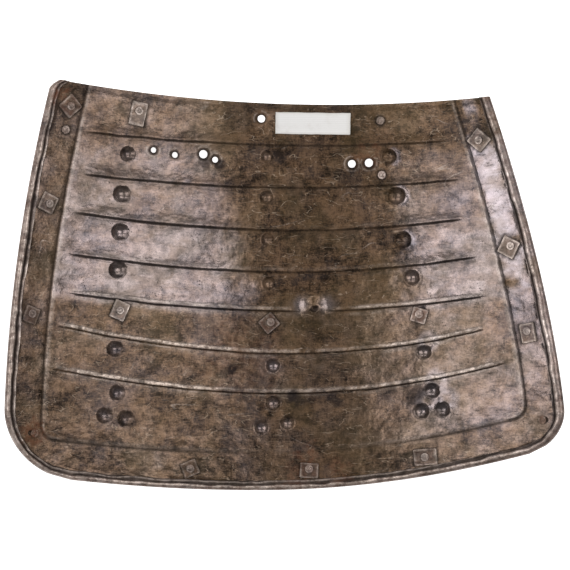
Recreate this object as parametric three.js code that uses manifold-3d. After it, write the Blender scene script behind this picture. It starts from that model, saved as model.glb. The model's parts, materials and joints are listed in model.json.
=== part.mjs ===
// Tasset: a broad plate for the thigh, forged in one piece to look like eight narrow lames.
// It lies on its outer face with the hollow side up. +X is the wearer's side that the photograph
// shows on the right, +Y the edge that hangs from the breastplate, +Z up. Millimetres.

import * as THREE from 'three';
import { mergeVertices } from 'three/addons/utils/BufferGeometryUtils.js';
import { ConvexHull } from 'three/addons/math/ConvexHull.js';
import Module from 'manifold-3d';

const wasm = await Module();
wasm.setup();

// Driving sizes of the plate
const TOP_WIDTH = 275; // across the two top corners
const RIM_WIDTH = 351; // across the widest place, just above the lower corners
const TOP_SHIFT = -8.5; // how far the top edge stands off the middle of the rim
const HEIGHT = 247; // from the top edge to the lower edge, along the middle
const TOP_RISE_LEFT = 14.1; // how far each end of an edge stands above its lowest place
const TOP_RISE_RIGHT = 3.3;
const LOW_RISE_LEFT = 15.2;
const LOW_RISE_RIGHT = 32.6;
const BEND_TOP = 300; // radius of the bend across, at the top edge
const BEND_LOW = 360; // and at the lower edge
const WALL = 1.4;
const CORNER_LEFT = 40; // radii of the two lower corners
const CORNER_RIGHT = 22;
const TOP_BEVEL = 4.5; // the cut-off top corner on the left
const FLARE_BAND = 3; // the top edge is bent outwards over this width
const FLARE_DROP = 0.9;

// Turned edge along both sides and below
const HEM_WIDTH = 5.2;
const HEM_HEIGHT = 3;

// Embossed lines
const LINE_RISE = 1; // height of the lame lines on the inside
const LINE_SLOPE = 3.5; // width of their gentle upper side
const LINE_STEP = 1.2; // width of their steep lower side
const LINE_FADE = 9; // length over which a line dies out at each end
const BORDER_SIDE = 22; // from the outline to the border line, at the sides
const BORDER_LOW = 23.8; // and along the lower edge
const BORDER_HALF = 1.7; // half the width of the border groove
const BORDER_DEPTH = 0.5;
const BORDER_CORNER = 8; // radius of the border line at the lower corners

// Mock rivets, holes and the dent
const BOSS_RADIUS = 4.7; // of the hollow on the inside
const BOSS_DEPTH = 2.4;
const BOSS_WALL = 1; // how much wider the boss is outside
const HOLE_DIAMETER = 5;
const DENT_RADIUS = 9;
const DENT_HEIGHT = 3.6;

// Real rivets, washers and the label
const SHANK_RADIUS = 1.5;
const HEAD_RADIUS = 4.2;
const HEAD_HEIGHT = 2.2;
const END_RADIUS = 2.7; // of the hammered end inside
const END_HEIGHT = 1;
const WASHER = 11; // side of a plain washer
const WASHER_THICKNESS = 1;
const CLEARANCE = 0.3; // between pieces that meet
const LABEL_WIDTH = 48;
const LABEL_HEIGHT = 13.8;
const LABEL_THICKNESS = 0.35;

// The lame lines. down: share of the height in the middle; tilt and bow: how that share grows
// to the right and towards both ends; left and right: how far the line reaches towards each
// side; rise: share of LINE_RISE.
const lameLines = [
  { down: 0.104, tilt: -0.004, bow: 0.011, left: 0.83, right: 0.77, rise: 0.6 },
  { down: 0.214, tilt: -0.003, bow: 0.009, left: 0.81, right: 0.79, rise: 0.6 },
  { down: 0.324, tilt: 0.003, bow: -0.002, left: 0.82, right: 0.77, rise: 0.7 },
  { down: 0.433, tilt: 0.004, bow: -0.006, left: 0.82, right: 0.79, rise: 0.75 },
  { down: 0.535, tilt: 0.011, bow: -0.002, left: 0.8, right: 0.79, rise: 0.9 },
  { down: 0.645, tilt: 0.012, bow: -0.035, left: 0.83, right: 0.77, rise: 1 },
  { down: 0.749, tilt: 0.008, bow: -0.03, left: 0.84, right: 0.82, rise: 1 },
];

// Mock rivets, hollow inside and domed outside. across: share of the half width, to the right;
// down: share of the height; size: share of BOSS_RADIUS.
const bosses = [
  { across: -0.627, down: 0.159, size: 0.96 },
  { across: -0.633, down: 0.262, size: 1.12 },
  { across: -0.626, down: 0.358, size: 1.1 },
  { across: -0.624, down: 0.454, size: 1.14 },
  { across: -0.62, down: 0.656, size: 1.04 },
  { across: -0.608, down: 0.767, size: 0.96 },
  { across: -0.652, down: 0.828, size: 1 },
  { across: -0.576, down: 0.831, size: 1.04 },
  { across: -0.026, down: 0.139, size: 0.88 },
  { across: -0.032, down: 0.244, size: 0.94 },
  { across: -0.033, down: 0.353, size: 0.88 },
  { across: -0.033, down: 0.466, size: 0.9 },
  { across: -0.029, down: 0.679, size: 0.96 },
  { across: -0.034, down: 0.776, size: 1.02 },
  { across: -0.08, down: 0.839, size: 0.94 },
  { across: 0.016, down: 0.827, size: 0.94 },
  { across: 0.506, down: 0.142, size: 1 },
  { across: 0.511, down: 0.248, size: 1.2 },
  { across: 0.512, down: 0.367, size: 1.14 },
  { across: 0.527, down: 0.469, size: 1.04 },
  { across: 0.539, down: 0.67, size: 0.94 },
  { across: 0.552, down: 0.776, size: 1.02 },
  { across: 0.509, down: 0.826, size: 1 },
  { across: 0.584, down: 0.83, size: 1 },
];

// Open holes near the top edge, where the hanging straps were fastened. size: share of
// HOLE_DIAMETER.
const holes = [
  { across: -0.049, down: 0.041, size: 0.96 },
  { across: -0.52, down: 0.142, size: 0.7 },
  { across: -0.427, down: 0.149, size: 0.74 },
  { across: -0.305, down: 0.141, size: 1.06 },
  { across: -0.253, down: 0.153, size: 0.76 },
  { across: 0.342, down: 0.157, size: 1 },
  { across: 0.416, down: 0.156, size: 1.06 },
];

const dent = { across: 0.137, down: 0.528 };
const label = { across: 0.186, down: 0.05, turn: -1 };

// Real rivets. width and length: the washer's sides as shares of WASHER, turn: its angle in
// degrees, slipX and slipY: how far its middle lies off the rivet, as shares of WASHER, if it
// does. A rivet without a width has lost its washer.
const rivets = [
  { name: 'left_1', across: -0.899, down: 0.061, width: 1, length: 1.06, turn: -50 },
  { name: 'left_2', across: -0.914, down: 0.311, width: 0.96, length: 1.05, turn: -27, slipX: -0.07 },
  { name: 'left_3', across: -0.929, down: 0.592, width: 0.85, length: 0.95, turn: -22, slipY: -0.08 },
  { name: 'right_1', across: 0.901, down: 0.119, width: 1.1, length: 1.02, turn: -40 },
  { name: 'right_2', across: 0.92, down: 0.422, width: 1.08, length: 1.08, turn: -26,
    slipX: -0.08, slipY: -0.12 },
  { name: 'right_3', across: 0.917, down: 0.662, width: 0.9, length: 1.13, turn: 11, slipY: -0.12 },
  { name: 'top_left', across: -0.604, down: 0.048, width: 0.94, length: 1.4, turn: -12, slipY: -0.18 },
  { name: 'middle_1', across: -0.611, down: 0.557, width: 0.92, length: 1.1, turn: -24 },
  { name: 'middle_2', across: -0.033, down: 0.566, width: 0.92, length: 0.97, turn: -50, slipY: -0.1 },
  { name: 'middle_3', across: 0.54, down: 0.568, width: 0.92, length: 0.86, turn: -16, slipY: -0.08 },
  { name: 'low_1', across: -0.346, down: 0.948, width: 0.96, length: 0.9, turn: 22 },
  { name: 'low_2', across: 0.09, down: 0.948, width: 1.09, length: 0.88, turn: -3, slipY: -0.1 },
  { name: 'low_3', across: 0.512, down: 0.949, width: 1.4, length: 0.96, turn: 5 },
  { name: 'left_plug', across: -0.898, down: 0.121 },
  { name: 'left_4', across: -0.897, down: 0.892 },
  { name: 'right_4', across: 0.925, down: 0.915 },
  { name: 'top_right', across: 0.494, down: 0.045 },
  { name: 'strap_plug', across: 0.465, down: 0.19 },
];

// Section of the turned edge. within: distance from the outline as a share of HEM_WIDTH,
// up: height over the inner face as a share of HEM_HEIGHT.
const hemSection = [
  { within: 0, up: -0.1 },
  { within: 0.06, up: 0.66 },
  { within: 0.38, up: 1 },
  { within: 0.95, up: 0.62 },
  { within: 1, up: 0.3 },
];
const HEM_FOOT = 0.9 * HEM_WIDTH; // where the turned edge meets the inner face
const HEM_BACK = 0.2 * HEM_WIDTH; // where it meets the outer face

const steelColour = 0x5c5248;
const rivetColour = 0x6a5f54;
const washerColour = 0x6f6456;
const paperColour = 0xe9e8e2;

const { clamp, lerp, degToRad } = THREE.MathUtils;

// The outline. u runs across from -1 to 1, v down from 0 to 1.
const LEFT_BOW = 2;
const RIGHT_BOW = 1.5;
const TOP_LOWEST = 0.35; // where across the top edge is lowest
const LOW_LOWEST = -0.085;

function halfSpan(v) {
  const rest = clamp(1 - v, 0, 1);
  const topLeft = TOP_WIDTH / 2 - TOP_SHIFT;
  const topRight = TOP_WIDTH / 2 + TOP_SHIFT;
  const left = lerp(RIM_WIDTH / 2, topLeft, rest ** LEFT_BOW);
  const right = lerp(RIM_WIDTH / 2, topRight, rest ** RIGHT_BOW);
  return { half: (left + right) / 2, middle: (right - left) / 2 };
}

function edgeRise(u, lowest, riseLeft, riseRight) {
  const toLeft = u < lowest;
  const share = toLeft ? (u - lowest) / (-1 - lowest) : (u - lowest) / (1 - lowest);
  return (toLeft ? riseLeft : riseRight) * share * share;
}

const topEdge = (u) => HEIGHT / 2 + edgeRise(u, TOP_LOWEST, TOP_RISE_LEFT, TOP_RISE_RIGHT);
const lowEdge = (u) => -HEIGHT / 2 + edgeRise(u, LOW_LOWEST, LOW_RISE_LEFT, LOW_RISE_RIGHT);
const heightAt = (u) => topEdge(u) - lowEdge(u);

function flatPoint(u, v) {
  const { half, middle } = halfSpan(v);
  return { x: middle + u * half, y: lerp(topEdge(u), lowEdge(u), v) };
}

// The shares at a place on the plate, found by a few steps of correction
function sharesAt(x, y) {
  let u = 0;
  let v = 0.5;
  for (let step = 0; step < 12; step += 1) {
    const { half, middle } = halfSpan(v);
    u = (x - middle) / half;
    v = (topEdge(u) - y) / heightAt(u);
  }
  return { u, v };
}

// The bend: a cone-like trough, tighter at the top
function bend(x, y) {
  const growth = (BEND_LOW - BEND_TOP) / HEIGHT;
  const radius = lerp(BEND_TOP, BEND_LOW, 0.5 - y / HEIGHT);
  const root = Math.sqrt(radius * radius - x * x);
  const slopeY = -growth * (1 - radius / root);
  const normal = new THREE.Vector3(-x / root, -slopeY, 1).normalize();
  return { z: radius - root, normal, radius };
}

// Relief of the inner face: lame lines, border line and the bent top edge
function lineRelief(line, u, v) {
  const below = (v - line.down - line.tilt * u - line.bow * u * u) * HEIGHT;
  const end = (u < 0 ? line.left : line.right) - Math.abs(u);
  const fade = clamp((end * RIM_WIDTH) / 2 / LINE_FADE, 0, 1);
  const face = below < 0 ? 1 + below / LINE_SLOPE : 1 - below / LINE_STEP;
  return line.rise * LINE_RISE * fade * clamp(face, 0, 1);
}

function borderRelief(u, v) {
  const fromSide = (1 - Math.abs(u)) * halfSpan(v).half - BORDER_SIDE;
  const fromLow = (1 - v) * heightAt(u) - BORDER_LOW;
  let inside = Math.min(fromSide, fromLow);
  if (fromSide < BORDER_CORNER && fromLow < BORDER_CORNER) {
    inside = BORDER_CORNER - Math.hypot(BORDER_CORNER - fromSide, BORDER_CORNER - fromLow);
  }
  return -BORDER_DEPTH * clamp(1 - Math.abs(inside) / BORDER_HALF, 0, 1);
}

function relief(u, v) {
  let height = borderRelief(u, v);
  for (const line of lameLines) height += lineRelief(line, u, v);
  const fromTop = v * heightAt(u);
  return height - FLARE_DROP * clamp(1 - fromTop / FLARE_BAND, 0, 1);
}

// A point at a height over the smooth inner face
function overSheet(u, v, height) {
  const { x, y } = flatPoint(u, v);
  const { z, normal } = bend(x, y);
  return new THREE.Vector3(x, y, z).addScaledVector(normal, height);
}

// Rows of the plate's mesh: each gives v for a place across. A row counted from the lower
// edge gives its distance from it instead.
function lameRow(line, offset) {
  return { at: (u) => line.down + line.tilt * u + line.bow * u * u + offset / HEIGHT };
}

function plateRows() {
  const rows = [{ at: () => 0 }, { at: (u) => FLARE_BAND / heightAt(u) }];
  for (const line of lameLines) {
    const slope = lameRow(line, -LINE_SLOPE);
    rows.push(slope, lameRow(line, 0), lameRow(line, LINE_STEP));
  }
  const border = [BORDER_HALF, 0, -BORDER_HALF].map((out) => ({ fromLow: BORDER_LOW + out }));
  const corner = [1.25, 0.85].map((share) => ({ fromLow: share * CORNER_LEFT }));
  const hem = [0.6, 0.3, 0.1, 0].map((share) => ({ fromLow: share * BORDER_LOW }));
  return [...rows, ...corner, ...border, ...hem];
}

// Columns: the border line lies at BORDER_SHARE on either side
const BORDER_SHARE = 0.87;
const INNER_COLUMNS = 15;

function plateColumns() {
  const groove = (BORDER_HALF / (RIM_WIDTH / 2 - BORDER_SIDE)) * BORDER_SHARE;
  const side = [1, 0.94, BORDER_SHARE + groove, BORDER_SHARE, BORDER_SHARE - groove];
  const inner = [];
  for (let i = 1; i < INNER_COLUMNS; i += 1) {
    inner.push((BORDER_SHARE - groove) * ((2 * i) / INNER_COLUMNS - 1));
  }
  return [...side.map((s) => -s), ...inner, ...side.reverse()];
}

// How far the rounded or bevelled corners cut into a row
function cornerCut(fromLow, fromTop, radius, bevel) {
  if (fromTop < bevel) return bevel - fromTop;
  if (fromLow >= radius) return 0;
  const rest = radius - Math.max(fromLow, 0);
  return radius - Math.sqrt(radius * radius - rest * rest);
}

// The shares of a mesh point when the outline is drawn inset by some width
function meshShares(s, row, inset) {
  let u = s;
  let v = 0;
  for (let step = 0; step < 8; step += 1) {
    const tall = heightAt(u);
    if (row.at) v = row.at(u);
    else {
      const squeezed = inset + (row.fromLow * (BORDER_LOW - inset)) / BORDER_LOW;
      v = 1 - (row.fromLow < BORDER_LOW ? squeezed : row.fromLow) / tall;
    }
    const radius = (s < 0 ? CORNER_LEFT : CORNER_RIGHT) - inset;
    const bevel = s < 0 ? TOP_BEVEL : 0;
    const cut = cornerCut((1 - v) * tall - inset, v * tall, radius, bevel);
    const { half } = halfSpan(v);
    const limit = 1 - (inset + cut) / half;
    const border = Math.min(1 - BORDER_SIDE / half, 0.93 * limit);
    const reach = Math.abs(s);
    const inPanel = (reach / BORDER_SHARE) * border;
    const inBorder = border + ((reach - BORDER_SHARE) / (1 - BORDER_SHARE)) * (limit - border);
    u = Math.sign(s) * (reach <= BORDER_SHARE ? inPanel : inBorder);
  }
  return { u, v };
}

function meshPoint(s, row, inset, height) {
  const { u, v } = meshShares(s, row, inset);
  return overSheet(u, v, relief(u, v) + height);
}

// The turned edge at one mesh point of the outline: its section stands on the line that runs
// inwards from the outline
function hemPoints(s, row) {
  const edge = meshShares(s, row, 0);
  const foot = meshShares(s, row, HEM_FOOT);
  return hemSection.map(({ within, up }) => {
    const share = (within * HEM_WIDTH) / HEM_FOOT;
    const u = lerp(edge.u, foot.u, share);
    const v = lerp(edge.v, foot.v, share);
    return overSheet(u, v, up * HEM_HEIGHT);
  });
}

// The plate without its bosses and holes, as one closed mesh: inner face, outer face, and a
// strip that joins them round the outline
function sheetGeometry() {
  const rows = plateRows();
  const columns = plateColumns();
  const points = [];
  const faces = [];
  const add = (point) => points.push(point) - 1;
  const quad = (a, b, c, d) => faces.push(a, b, c, a, c, d);
  const inner = rows.map((row) => columns.map((s) => add(meshPoint(s, row, HEM_FOOT, 0))));
  const outer = rows.map((row) => columns.map((s) => add(meshPoint(s, row, HEM_BACK, -WALL))));
  const lastRow = rows.length - 1;
  const lastColumn = columns.length - 1;
  for (let r = 0; r < lastRow; r += 1) {
    for (let c = 0; c < lastColumn; c += 1) {
      quad(inner[r][c], inner[r + 1][c], inner[r + 1][c + 1], inner[r][c + 1]);
      quad(outer[r][c], outer[r][c + 1], outer[r + 1][c + 1], outer[r + 1][c]);
    }
  }
  for (let c = 0; c < lastColumn; c += 1) {
    quad(inner[0][c], inner[0][c + 1], outer[0][c + 1], outer[0][c]);
  }
  const round = [];
  for (let r = 0; r < lastRow; r += 1) round.push([r, 0]);
  for (let c = 0; c < lastColumn; c += 1) round.push([lastRow, c]);
  for (let r = lastRow; r >= 0; r -= 1) round.push([r, lastColumn]);
  const sections = round.map(([r, c]) => {
    const middle = hemPoints(columns[c], rows[r]).map(add);
    return [outer[r][c], ...middle, inner[r][c]];
  });
  for (let k = 0; k + 1 < sections.length; k += 1) {
    for (let j = 0; j + 1 < sections[k].length; j += 1) {
      quad(sections[k][j], sections[k + 1][j], sections[k + 1][j + 1], sections[k][j + 1]);
    }
  }
  const capEnd = (ring, turned) => {
    for (let j = 1; j + 1 < ring.length; j += 1) {
      if (turned) faces.push(ring[0], ring[j + 1], ring[j]);
      else faces.push(ring[0], ring[j], ring[j + 1]);
    }
  };
  capEnd(sections[0], false);
  capEnd(sections[sections.length - 1], true);
  const geometry = new THREE.BufferGeometry();
  const flat = points.flatMap((point) => point.toArray());
  geometry.setAttribute('position', new THREE.Float32BufferAttribute(flat, 3));
  geometry.setIndex(faces);
  return geometry;
}

// Solids for joining and cutting
function toSolid(geometry) {
  const bare = geometry.clone();
  bare.deleteAttribute('normal');
  bare.deleteAttribute('uv');
  const merged = mergeVertices(bare, 1e-4);
  return new wasm.Manifold(new wasm.Mesh({
    numProp: 3,
    vertProperties: new Float32Array(merged.attributes.position.array),
    triVerts: new Uint32Array(merged.index.array),
  }));
}

function toGeometry(solid) {
  const mesh = solid.getMesh();
  const geometry = new THREE.BufferGeometry();
  geometry.setAttribute('position', new THREE.BufferAttribute(mesh.vertProperties.slice(), 3));
  geometry.setIndex(new THREE.BufferAttribute(mesh.triVerts.slice(), 1));
  geometry.computeVertexNormals();
  return geometry;
}

// The place of a fitting: its foot on the smooth inner face, in a frame whose +Z stands off it
function seatOf(place, turn = 0) {
  const { x, y } = flatPoint(place.across, place.down);
  const { z, normal } = bend(x, y);
  const along = new THREE.Vector3(1, 0, 0).projectOnPlane(normal).normalize();
  const up = normal.clone().cross(along);
  const frame = new THREE.Matrix4().makeBasis(along, up, normal);
  frame.multiply(new THREE.Matrix4().makeRotationZ(degToRad(turn)));
  frame.setPosition(x, y, z);
  return frame;
}

// A turned solid about +Z from a profile of radius and height pairs
function turned(profile, sides) {
  const points = profile.map(([radius, height]) => new THREE.Vector2(radius, height));
  return new THREE.LatheGeometry(points, sides).rotateX(Math.PI / 2);
}

// A dome that stands down from the plate, with a stub that reaches above it to join or cut
function dome(radius, depth, foot, stub, sides) {
  return turned([
    [0, foot - depth],
    [0.68 * radius, foot - 0.74 * depth],
    [radius, foot],
    [radius, foot + stub],
    [0, foot + stub],
  ], sides);
}

const BOSS_SIDES = 8;
const DENT_SIDES = 10;
const HOLE_SIDES = 8;
const RIVET_SIDES = 8;

function plateSolid() {
  let plate = toSolid(sheetGeometry());
  const place = (geometry, frame) => toSolid(geometry.applyMatrix4(frame));
  const proud = WALL; // how far a cutter reaches past the faces
  for (const boss of bosses) {
    const radius = boss.size * BOSS_RADIUS;
    const frame = seatOf(boss);
    const outside = dome(radius + BOSS_WALL, BOSS_DEPTH, -WALL, 0.5 * WALL, BOSS_SIDES);
    const inside = dome(radius, BOSS_DEPTH, 0, proud, BOSS_SIDES);
    plate = plate.add(place(outside, frame)).subtract(place(inside, frame));
  }
  const dentFrame = seatOf(dent);
  const inwards = new THREE.Matrix4().makeRotationX(Math.PI);
  const lump = dome(DENT_RADIUS, DENT_HEIGHT, 0, 0.5 * WALL, DENT_SIDES).applyMatrix4(inwards);
  const pitRadius = DENT_RADIUS - BOSS_WALL;
  const pit = dome(pitRadius, DENT_HEIGHT, WALL, proud, DENT_SIDES).applyMatrix4(inwards);
  plate = plate.add(place(lump, dentFrame)).subtract(place(pit, dentFrame));
  const drill = (spot, radius) => {
    const frame = seatOf(spot, spot.turn);
    const depth = 2 * (WALL + proud + LINE_RISE);
    const bit = new THREE.CylinderGeometry(radius, radius, depth, HOLE_SIDES).rotateX(Math.PI / 2);
    plate = plate.subtract(place(bit, frame));
  };
  for (const hole of holes) drill(hole, (hole.size * HOLE_DIAMETER) / 2);
  for (const rivet of rivets) drill(rivet, SHANK_RADIUS + CLEARANCE);
  return plate;
}

// Height of the inner face over a fitting's foot plane, the highest under a rectangle
function highestUnder(frame, middleX, middleY, width, length) {
  const normal = new THREE.Vector3(0, 0, 1).transformDirection(frame);
  const foot = new THREE.Vector3().setFromMatrixPosition(frame);
  let highest = -Infinity;
  const steps = 8;
  for (let i = 0; i <= steps; i += 1) {
    for (let j = 0; j <= steps; j += 1) {
      const a = middleX + width * (i / steps - 0.5);
      const b = middleY + length * (j / steps - 0.5);
      const point = new THREE.Vector3(a, b, 0).applyMatrix4(frame);
      const { u, v } = sharesAt(point.x, point.y);
      const sheet = overSheet(u, v, relief(u, v));
      highest = Math.max(highest, sheet.sub(foot).dot(normal));
    }
  }
  return highest;
}

// How far the sheet dips under a rivet's head, where the border groove runs beneath it
function lowestUnder(frame) {
  let lowest = 0;
  const steps = 6;
  for (let i = 0; i <= steps; i += 1) {
    for (let j = 0; j <= steps; j += 1) {
      const a = HEAD_RADIUS * ((2 * i) / steps - 1);
      const b = HEAD_RADIUS * ((2 * j) / steps - 1);
      const point = new THREE.Vector3(a, b, 0).applyMatrix4(frame);
      const { u, v } = sharesAt(point.x, point.y);
      lowest = Math.min(lowest, relief(u, v));
    }
  }
  return lowest;
}

function washerGeometry(rivet, slip) {
  const half = { x: (rivet.width * WASHER) / 2, y: (rivet.length * WASHER) / 2 };
  const nip = 0.12 * WASHER;
  const outline = new THREE.Shape();
  outline.moveTo(slip.x - half.x + nip, slip.y - half.y);
  outline.lineTo(slip.x + half.x - nip, slip.y - half.y);
  outline.lineTo(slip.x + half.x, slip.y - half.y + nip);
  outline.lineTo(slip.x + half.x, slip.y + half.y - nip);
  outline.lineTo(slip.x + half.x - nip, slip.y + half.y);
  outline.lineTo(slip.x - half.x + nip, slip.y + half.y);
  outline.lineTo(slip.x - half.x, slip.y + half.y - nip);
  outline.lineTo(slip.x - half.x, slip.y - half.y + nip);
  outline.closePath();
  const bore = new THREE.Path();
  bore.absarc(0, 0, SHANK_RADIUS + CLEARANCE, 0, 2 * Math.PI, true);
  outline.holes.push(bore);
  return new THREE.ExtrudeGeometry(outline, {
    depth: WASHER_THICKNESS,
    bevelEnabled: false,
    curveSegments: RIVET_SIDES / 2,
  });
}

// Rivet: domed head against the outer face, shank, and hammered end. top: height of what the
// end lies on, under: height of the outer face.
function rivetGeometry(top, under) {
  return turned([
    [0, under - HEAD_HEIGHT],
    [0.72 * HEAD_RADIUS, under - 0.72 * HEAD_HEIGHT],
    [HEAD_RADIUS, under],
    [SHANK_RADIUS, under],
    [SHANK_RADIUS, top],
    [END_RADIUS, top],
    [0.7 * END_RADIUS, top + 0.8 * END_HEIGHT],
    [0, top + END_HEIGHT],
  ], RIVET_SIDES);
}

const LABEL_BENDS = 6;

// The label is a strip of paper bent like the sheet that it is glued to
function labelGeometry(radius) {
  const reach = LABEL_WIDTH / 2 / radius;
  const lowArc = radius - CLEARANCE;
  const highArc = lowArc - LABEL_THICKNESS;
  const section = new THREE.Shape();
  const start = -Math.PI / 2 - reach;
  const end = -Math.PI / 2 + reach;
  section.absarc(0, radius, lowArc, start, end, false);
  section.absarc(0, radius, highArc, end, start, true);
  section.closePath();
  const strip = new THREE.ExtrudeGeometry(section, {
    depth: LABEL_HEIGHT,
    bevelEnabled: false,
    curveSegments: LABEL_BENDS / 2,
  });
  strip.translate(0, 0, -LABEL_HEIGHT / 2);
  return strip.rotateX(Math.PI / 2);
}

function material(colour, roughness, metalness) {
  return new THREE.MeshStandardMaterial({ color: colour, roughness, metalness });
}

function piece(name, geometry, look, frame) {
  const mesh = new THREE.Mesh(geometry, look);
  mesh.name = name;
  if (frame) {
    mesh.quaternion.setFromRotationMatrix(frame);
    mesh.position.setFromMatrixPosition(frame);
  }
  return mesh;
}

function buildPieces() {
  const assembly = new THREE.Group();
  const steel = material(steelColour, 0.45, 0.9);
  const iron = material(rivetColour, 0.5, 0.9);
  const washerIron = material(washerColour, 0.55, 0.85);
  const paper = material(paperColour, 0.9, 0);
  assembly.add(piece('plate', toGeometry(plateSolid()), steel));
  for (const rivet of rivets) {
    const frame = seatOf(rivet, rivet.turn);
    const end = 2 * END_RADIUS;
    let top = highestUnder(frame, 0, 0, end, end) + CLEARANCE;
    if (rivet.width) {
      const slip = { x: (rivet.slipX ?? 0) * WASHER, y: (rivet.slipY ?? 0) * WASHER };
      const width = rivet.width * WASHER;
      const length = rivet.length * WASHER;
      const foot = highestUnder(frame, slip.x, slip.y, width, length) + CLEARANCE;
      const washerFrame = frame.clone().multiply(new THREE.Matrix4().makeTranslation(0, 0, foot));
      const washer = washerGeometry(rivet, slip);
      assembly.add(piece(`washer_${rivet.name}`, washer, washerIron, washerFrame));
      top = foot + WASHER_THICKNESS + CLEARANCE;
    }
    const under = -WALL - CLEARANCE + lowestUnder(frame);
    assembly.add(piece(`rivet_${rivet.name}`, rivetGeometry(top, under), iron, frame));
  }
  const labelFrame = seatOf(label, label.turn);
  const { x, y } = flatPoint(label.across, label.down);
  assembly.add(piece('paper_label', labelGeometry(bend(x, y).radius), paper, labelFrame));
  return assembly;
}

// Volume and centre of mass of a closed geometry
function massOf(geometry, matrix) {
  const solid = geometry.clone().applyMatrix4(matrix);
  const flat = solid.index ? solid.toNonIndexed() : solid;
  const at = flat.attributes.position;
  const a = new THREE.Vector3();
  const b = new THREE.Vector3();
  const c = new THREE.Vector3();
  const moment = new THREE.Vector3();
  let volume = 0;
  for (let i = 0; i < at.count; i += 3) {
    a.fromBufferAttribute(at, i);
    b.fromBufferAttribute(at, i + 1);
    c.fromBufferAttribute(at, i + 2);
    const part = a.dot(b.clone().cross(c)) / 6;
    volume += part;
    moment.addScaledVector(a.clone().add(b).add(c), part / 4);
  }
  return { volume, moment };
}

// The plate rests on the facet of its convex hull that lies nearest below the centre of mass
function restingTurn(assembly) {
  assembly.updateMatrixWorld(true);
  const corners = [];
  const moment = new THREE.Vector3();
  let volume = 0;
  assembly.traverse((mesh) => {
    if (!mesh.isMesh) return;
    const mass = massOf(mesh.geometry, mesh.matrixWorld);
    volume += mass.volume;
    moment.add(mass.moment);
    const at = mesh.geometry.attributes.position;
    for (let i = 0; i < at.count; i += 1) {
      corners.push(new THREE.Vector3().fromBufferAttribute(at, i).applyMatrix4(mesh.matrixWorld));
    }
  });
  const centre = moment.divideScalar(volume);
  const hull = new ConvexHull().setFromPoints(corners);
  let nearest = Infinity;
  let down = new THREE.Vector3(0, 0, -1);
  for (const face of hull.faces) {
    const distance = -face.distanceToPoint(centre);
    if (face.normal.z > -0.5 || distance >= nearest) continue;
    nearest = distance;
    down = face.normal.clone();
  }
  return new THREE.Quaternion().setFromUnitVectors(down, new THREE.Vector3(0, 0, -1));
}

const pieces = buildPieces();
pieces.quaternion.copy(restingTurn(pieces));
const tasset = new THREE.Group();
tasset.add(pieces);
tasset.updateMatrixWorld(true);
const box = new THREE.Box3().setFromObject(tasset, true);
const middle = box.getCenter(new THREE.Vector3());
pieces.position.set(-middle.x, -middle.y, -box.min.z);

export default tasset;
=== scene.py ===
"""Tasset: a broad thigh plate forged in one piece to look like eight narrow lames, dressed for a photograph.

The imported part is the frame. Patinated steel, rivets, hand-cut washers and a bare paper label are made over
it. Lengths are metres. The plate has a frame of its own, the sheet frame: x across, y up the plate, z out of
the hollow.
"""

import json
import math

import bpy
import numpy as np
from mathutils import Euler, Matrix, Vector

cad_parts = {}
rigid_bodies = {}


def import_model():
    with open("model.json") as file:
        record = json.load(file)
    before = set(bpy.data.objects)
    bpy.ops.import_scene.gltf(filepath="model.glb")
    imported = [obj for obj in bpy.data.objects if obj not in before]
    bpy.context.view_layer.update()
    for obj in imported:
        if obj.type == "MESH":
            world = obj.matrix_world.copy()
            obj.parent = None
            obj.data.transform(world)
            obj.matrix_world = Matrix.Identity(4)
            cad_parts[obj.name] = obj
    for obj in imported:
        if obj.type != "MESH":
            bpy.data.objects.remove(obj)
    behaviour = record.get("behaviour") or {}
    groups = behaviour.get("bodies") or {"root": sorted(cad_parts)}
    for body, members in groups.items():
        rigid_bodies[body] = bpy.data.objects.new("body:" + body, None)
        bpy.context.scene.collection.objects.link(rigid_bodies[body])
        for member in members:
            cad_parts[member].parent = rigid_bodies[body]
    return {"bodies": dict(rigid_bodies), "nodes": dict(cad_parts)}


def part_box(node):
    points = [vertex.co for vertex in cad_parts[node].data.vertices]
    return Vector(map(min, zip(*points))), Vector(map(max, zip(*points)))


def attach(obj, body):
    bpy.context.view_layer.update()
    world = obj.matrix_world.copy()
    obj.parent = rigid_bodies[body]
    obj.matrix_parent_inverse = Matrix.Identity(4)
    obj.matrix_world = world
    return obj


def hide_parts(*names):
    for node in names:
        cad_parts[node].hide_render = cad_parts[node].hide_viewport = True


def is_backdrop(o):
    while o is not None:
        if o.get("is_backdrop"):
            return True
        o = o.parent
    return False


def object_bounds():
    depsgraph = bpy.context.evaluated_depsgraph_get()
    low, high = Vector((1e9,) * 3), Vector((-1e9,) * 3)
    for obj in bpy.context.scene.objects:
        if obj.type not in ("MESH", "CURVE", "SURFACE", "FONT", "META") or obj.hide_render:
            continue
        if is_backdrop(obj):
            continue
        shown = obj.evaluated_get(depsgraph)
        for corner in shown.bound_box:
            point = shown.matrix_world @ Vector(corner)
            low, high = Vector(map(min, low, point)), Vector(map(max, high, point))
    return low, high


bl_info = {
    "name": "Tasset",
    "version": (1, 0, 0),
    "blender": (4, 5, 0),
    "location": "View3D > Sidebar > Tasset",
    "description": "Builds the finish of a one-piece tasset around its packed part",
    "category": "Object",
}

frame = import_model()
cad_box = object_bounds()
BODY = next(iter(frame["bodies"]))

MM = 0.001

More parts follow.
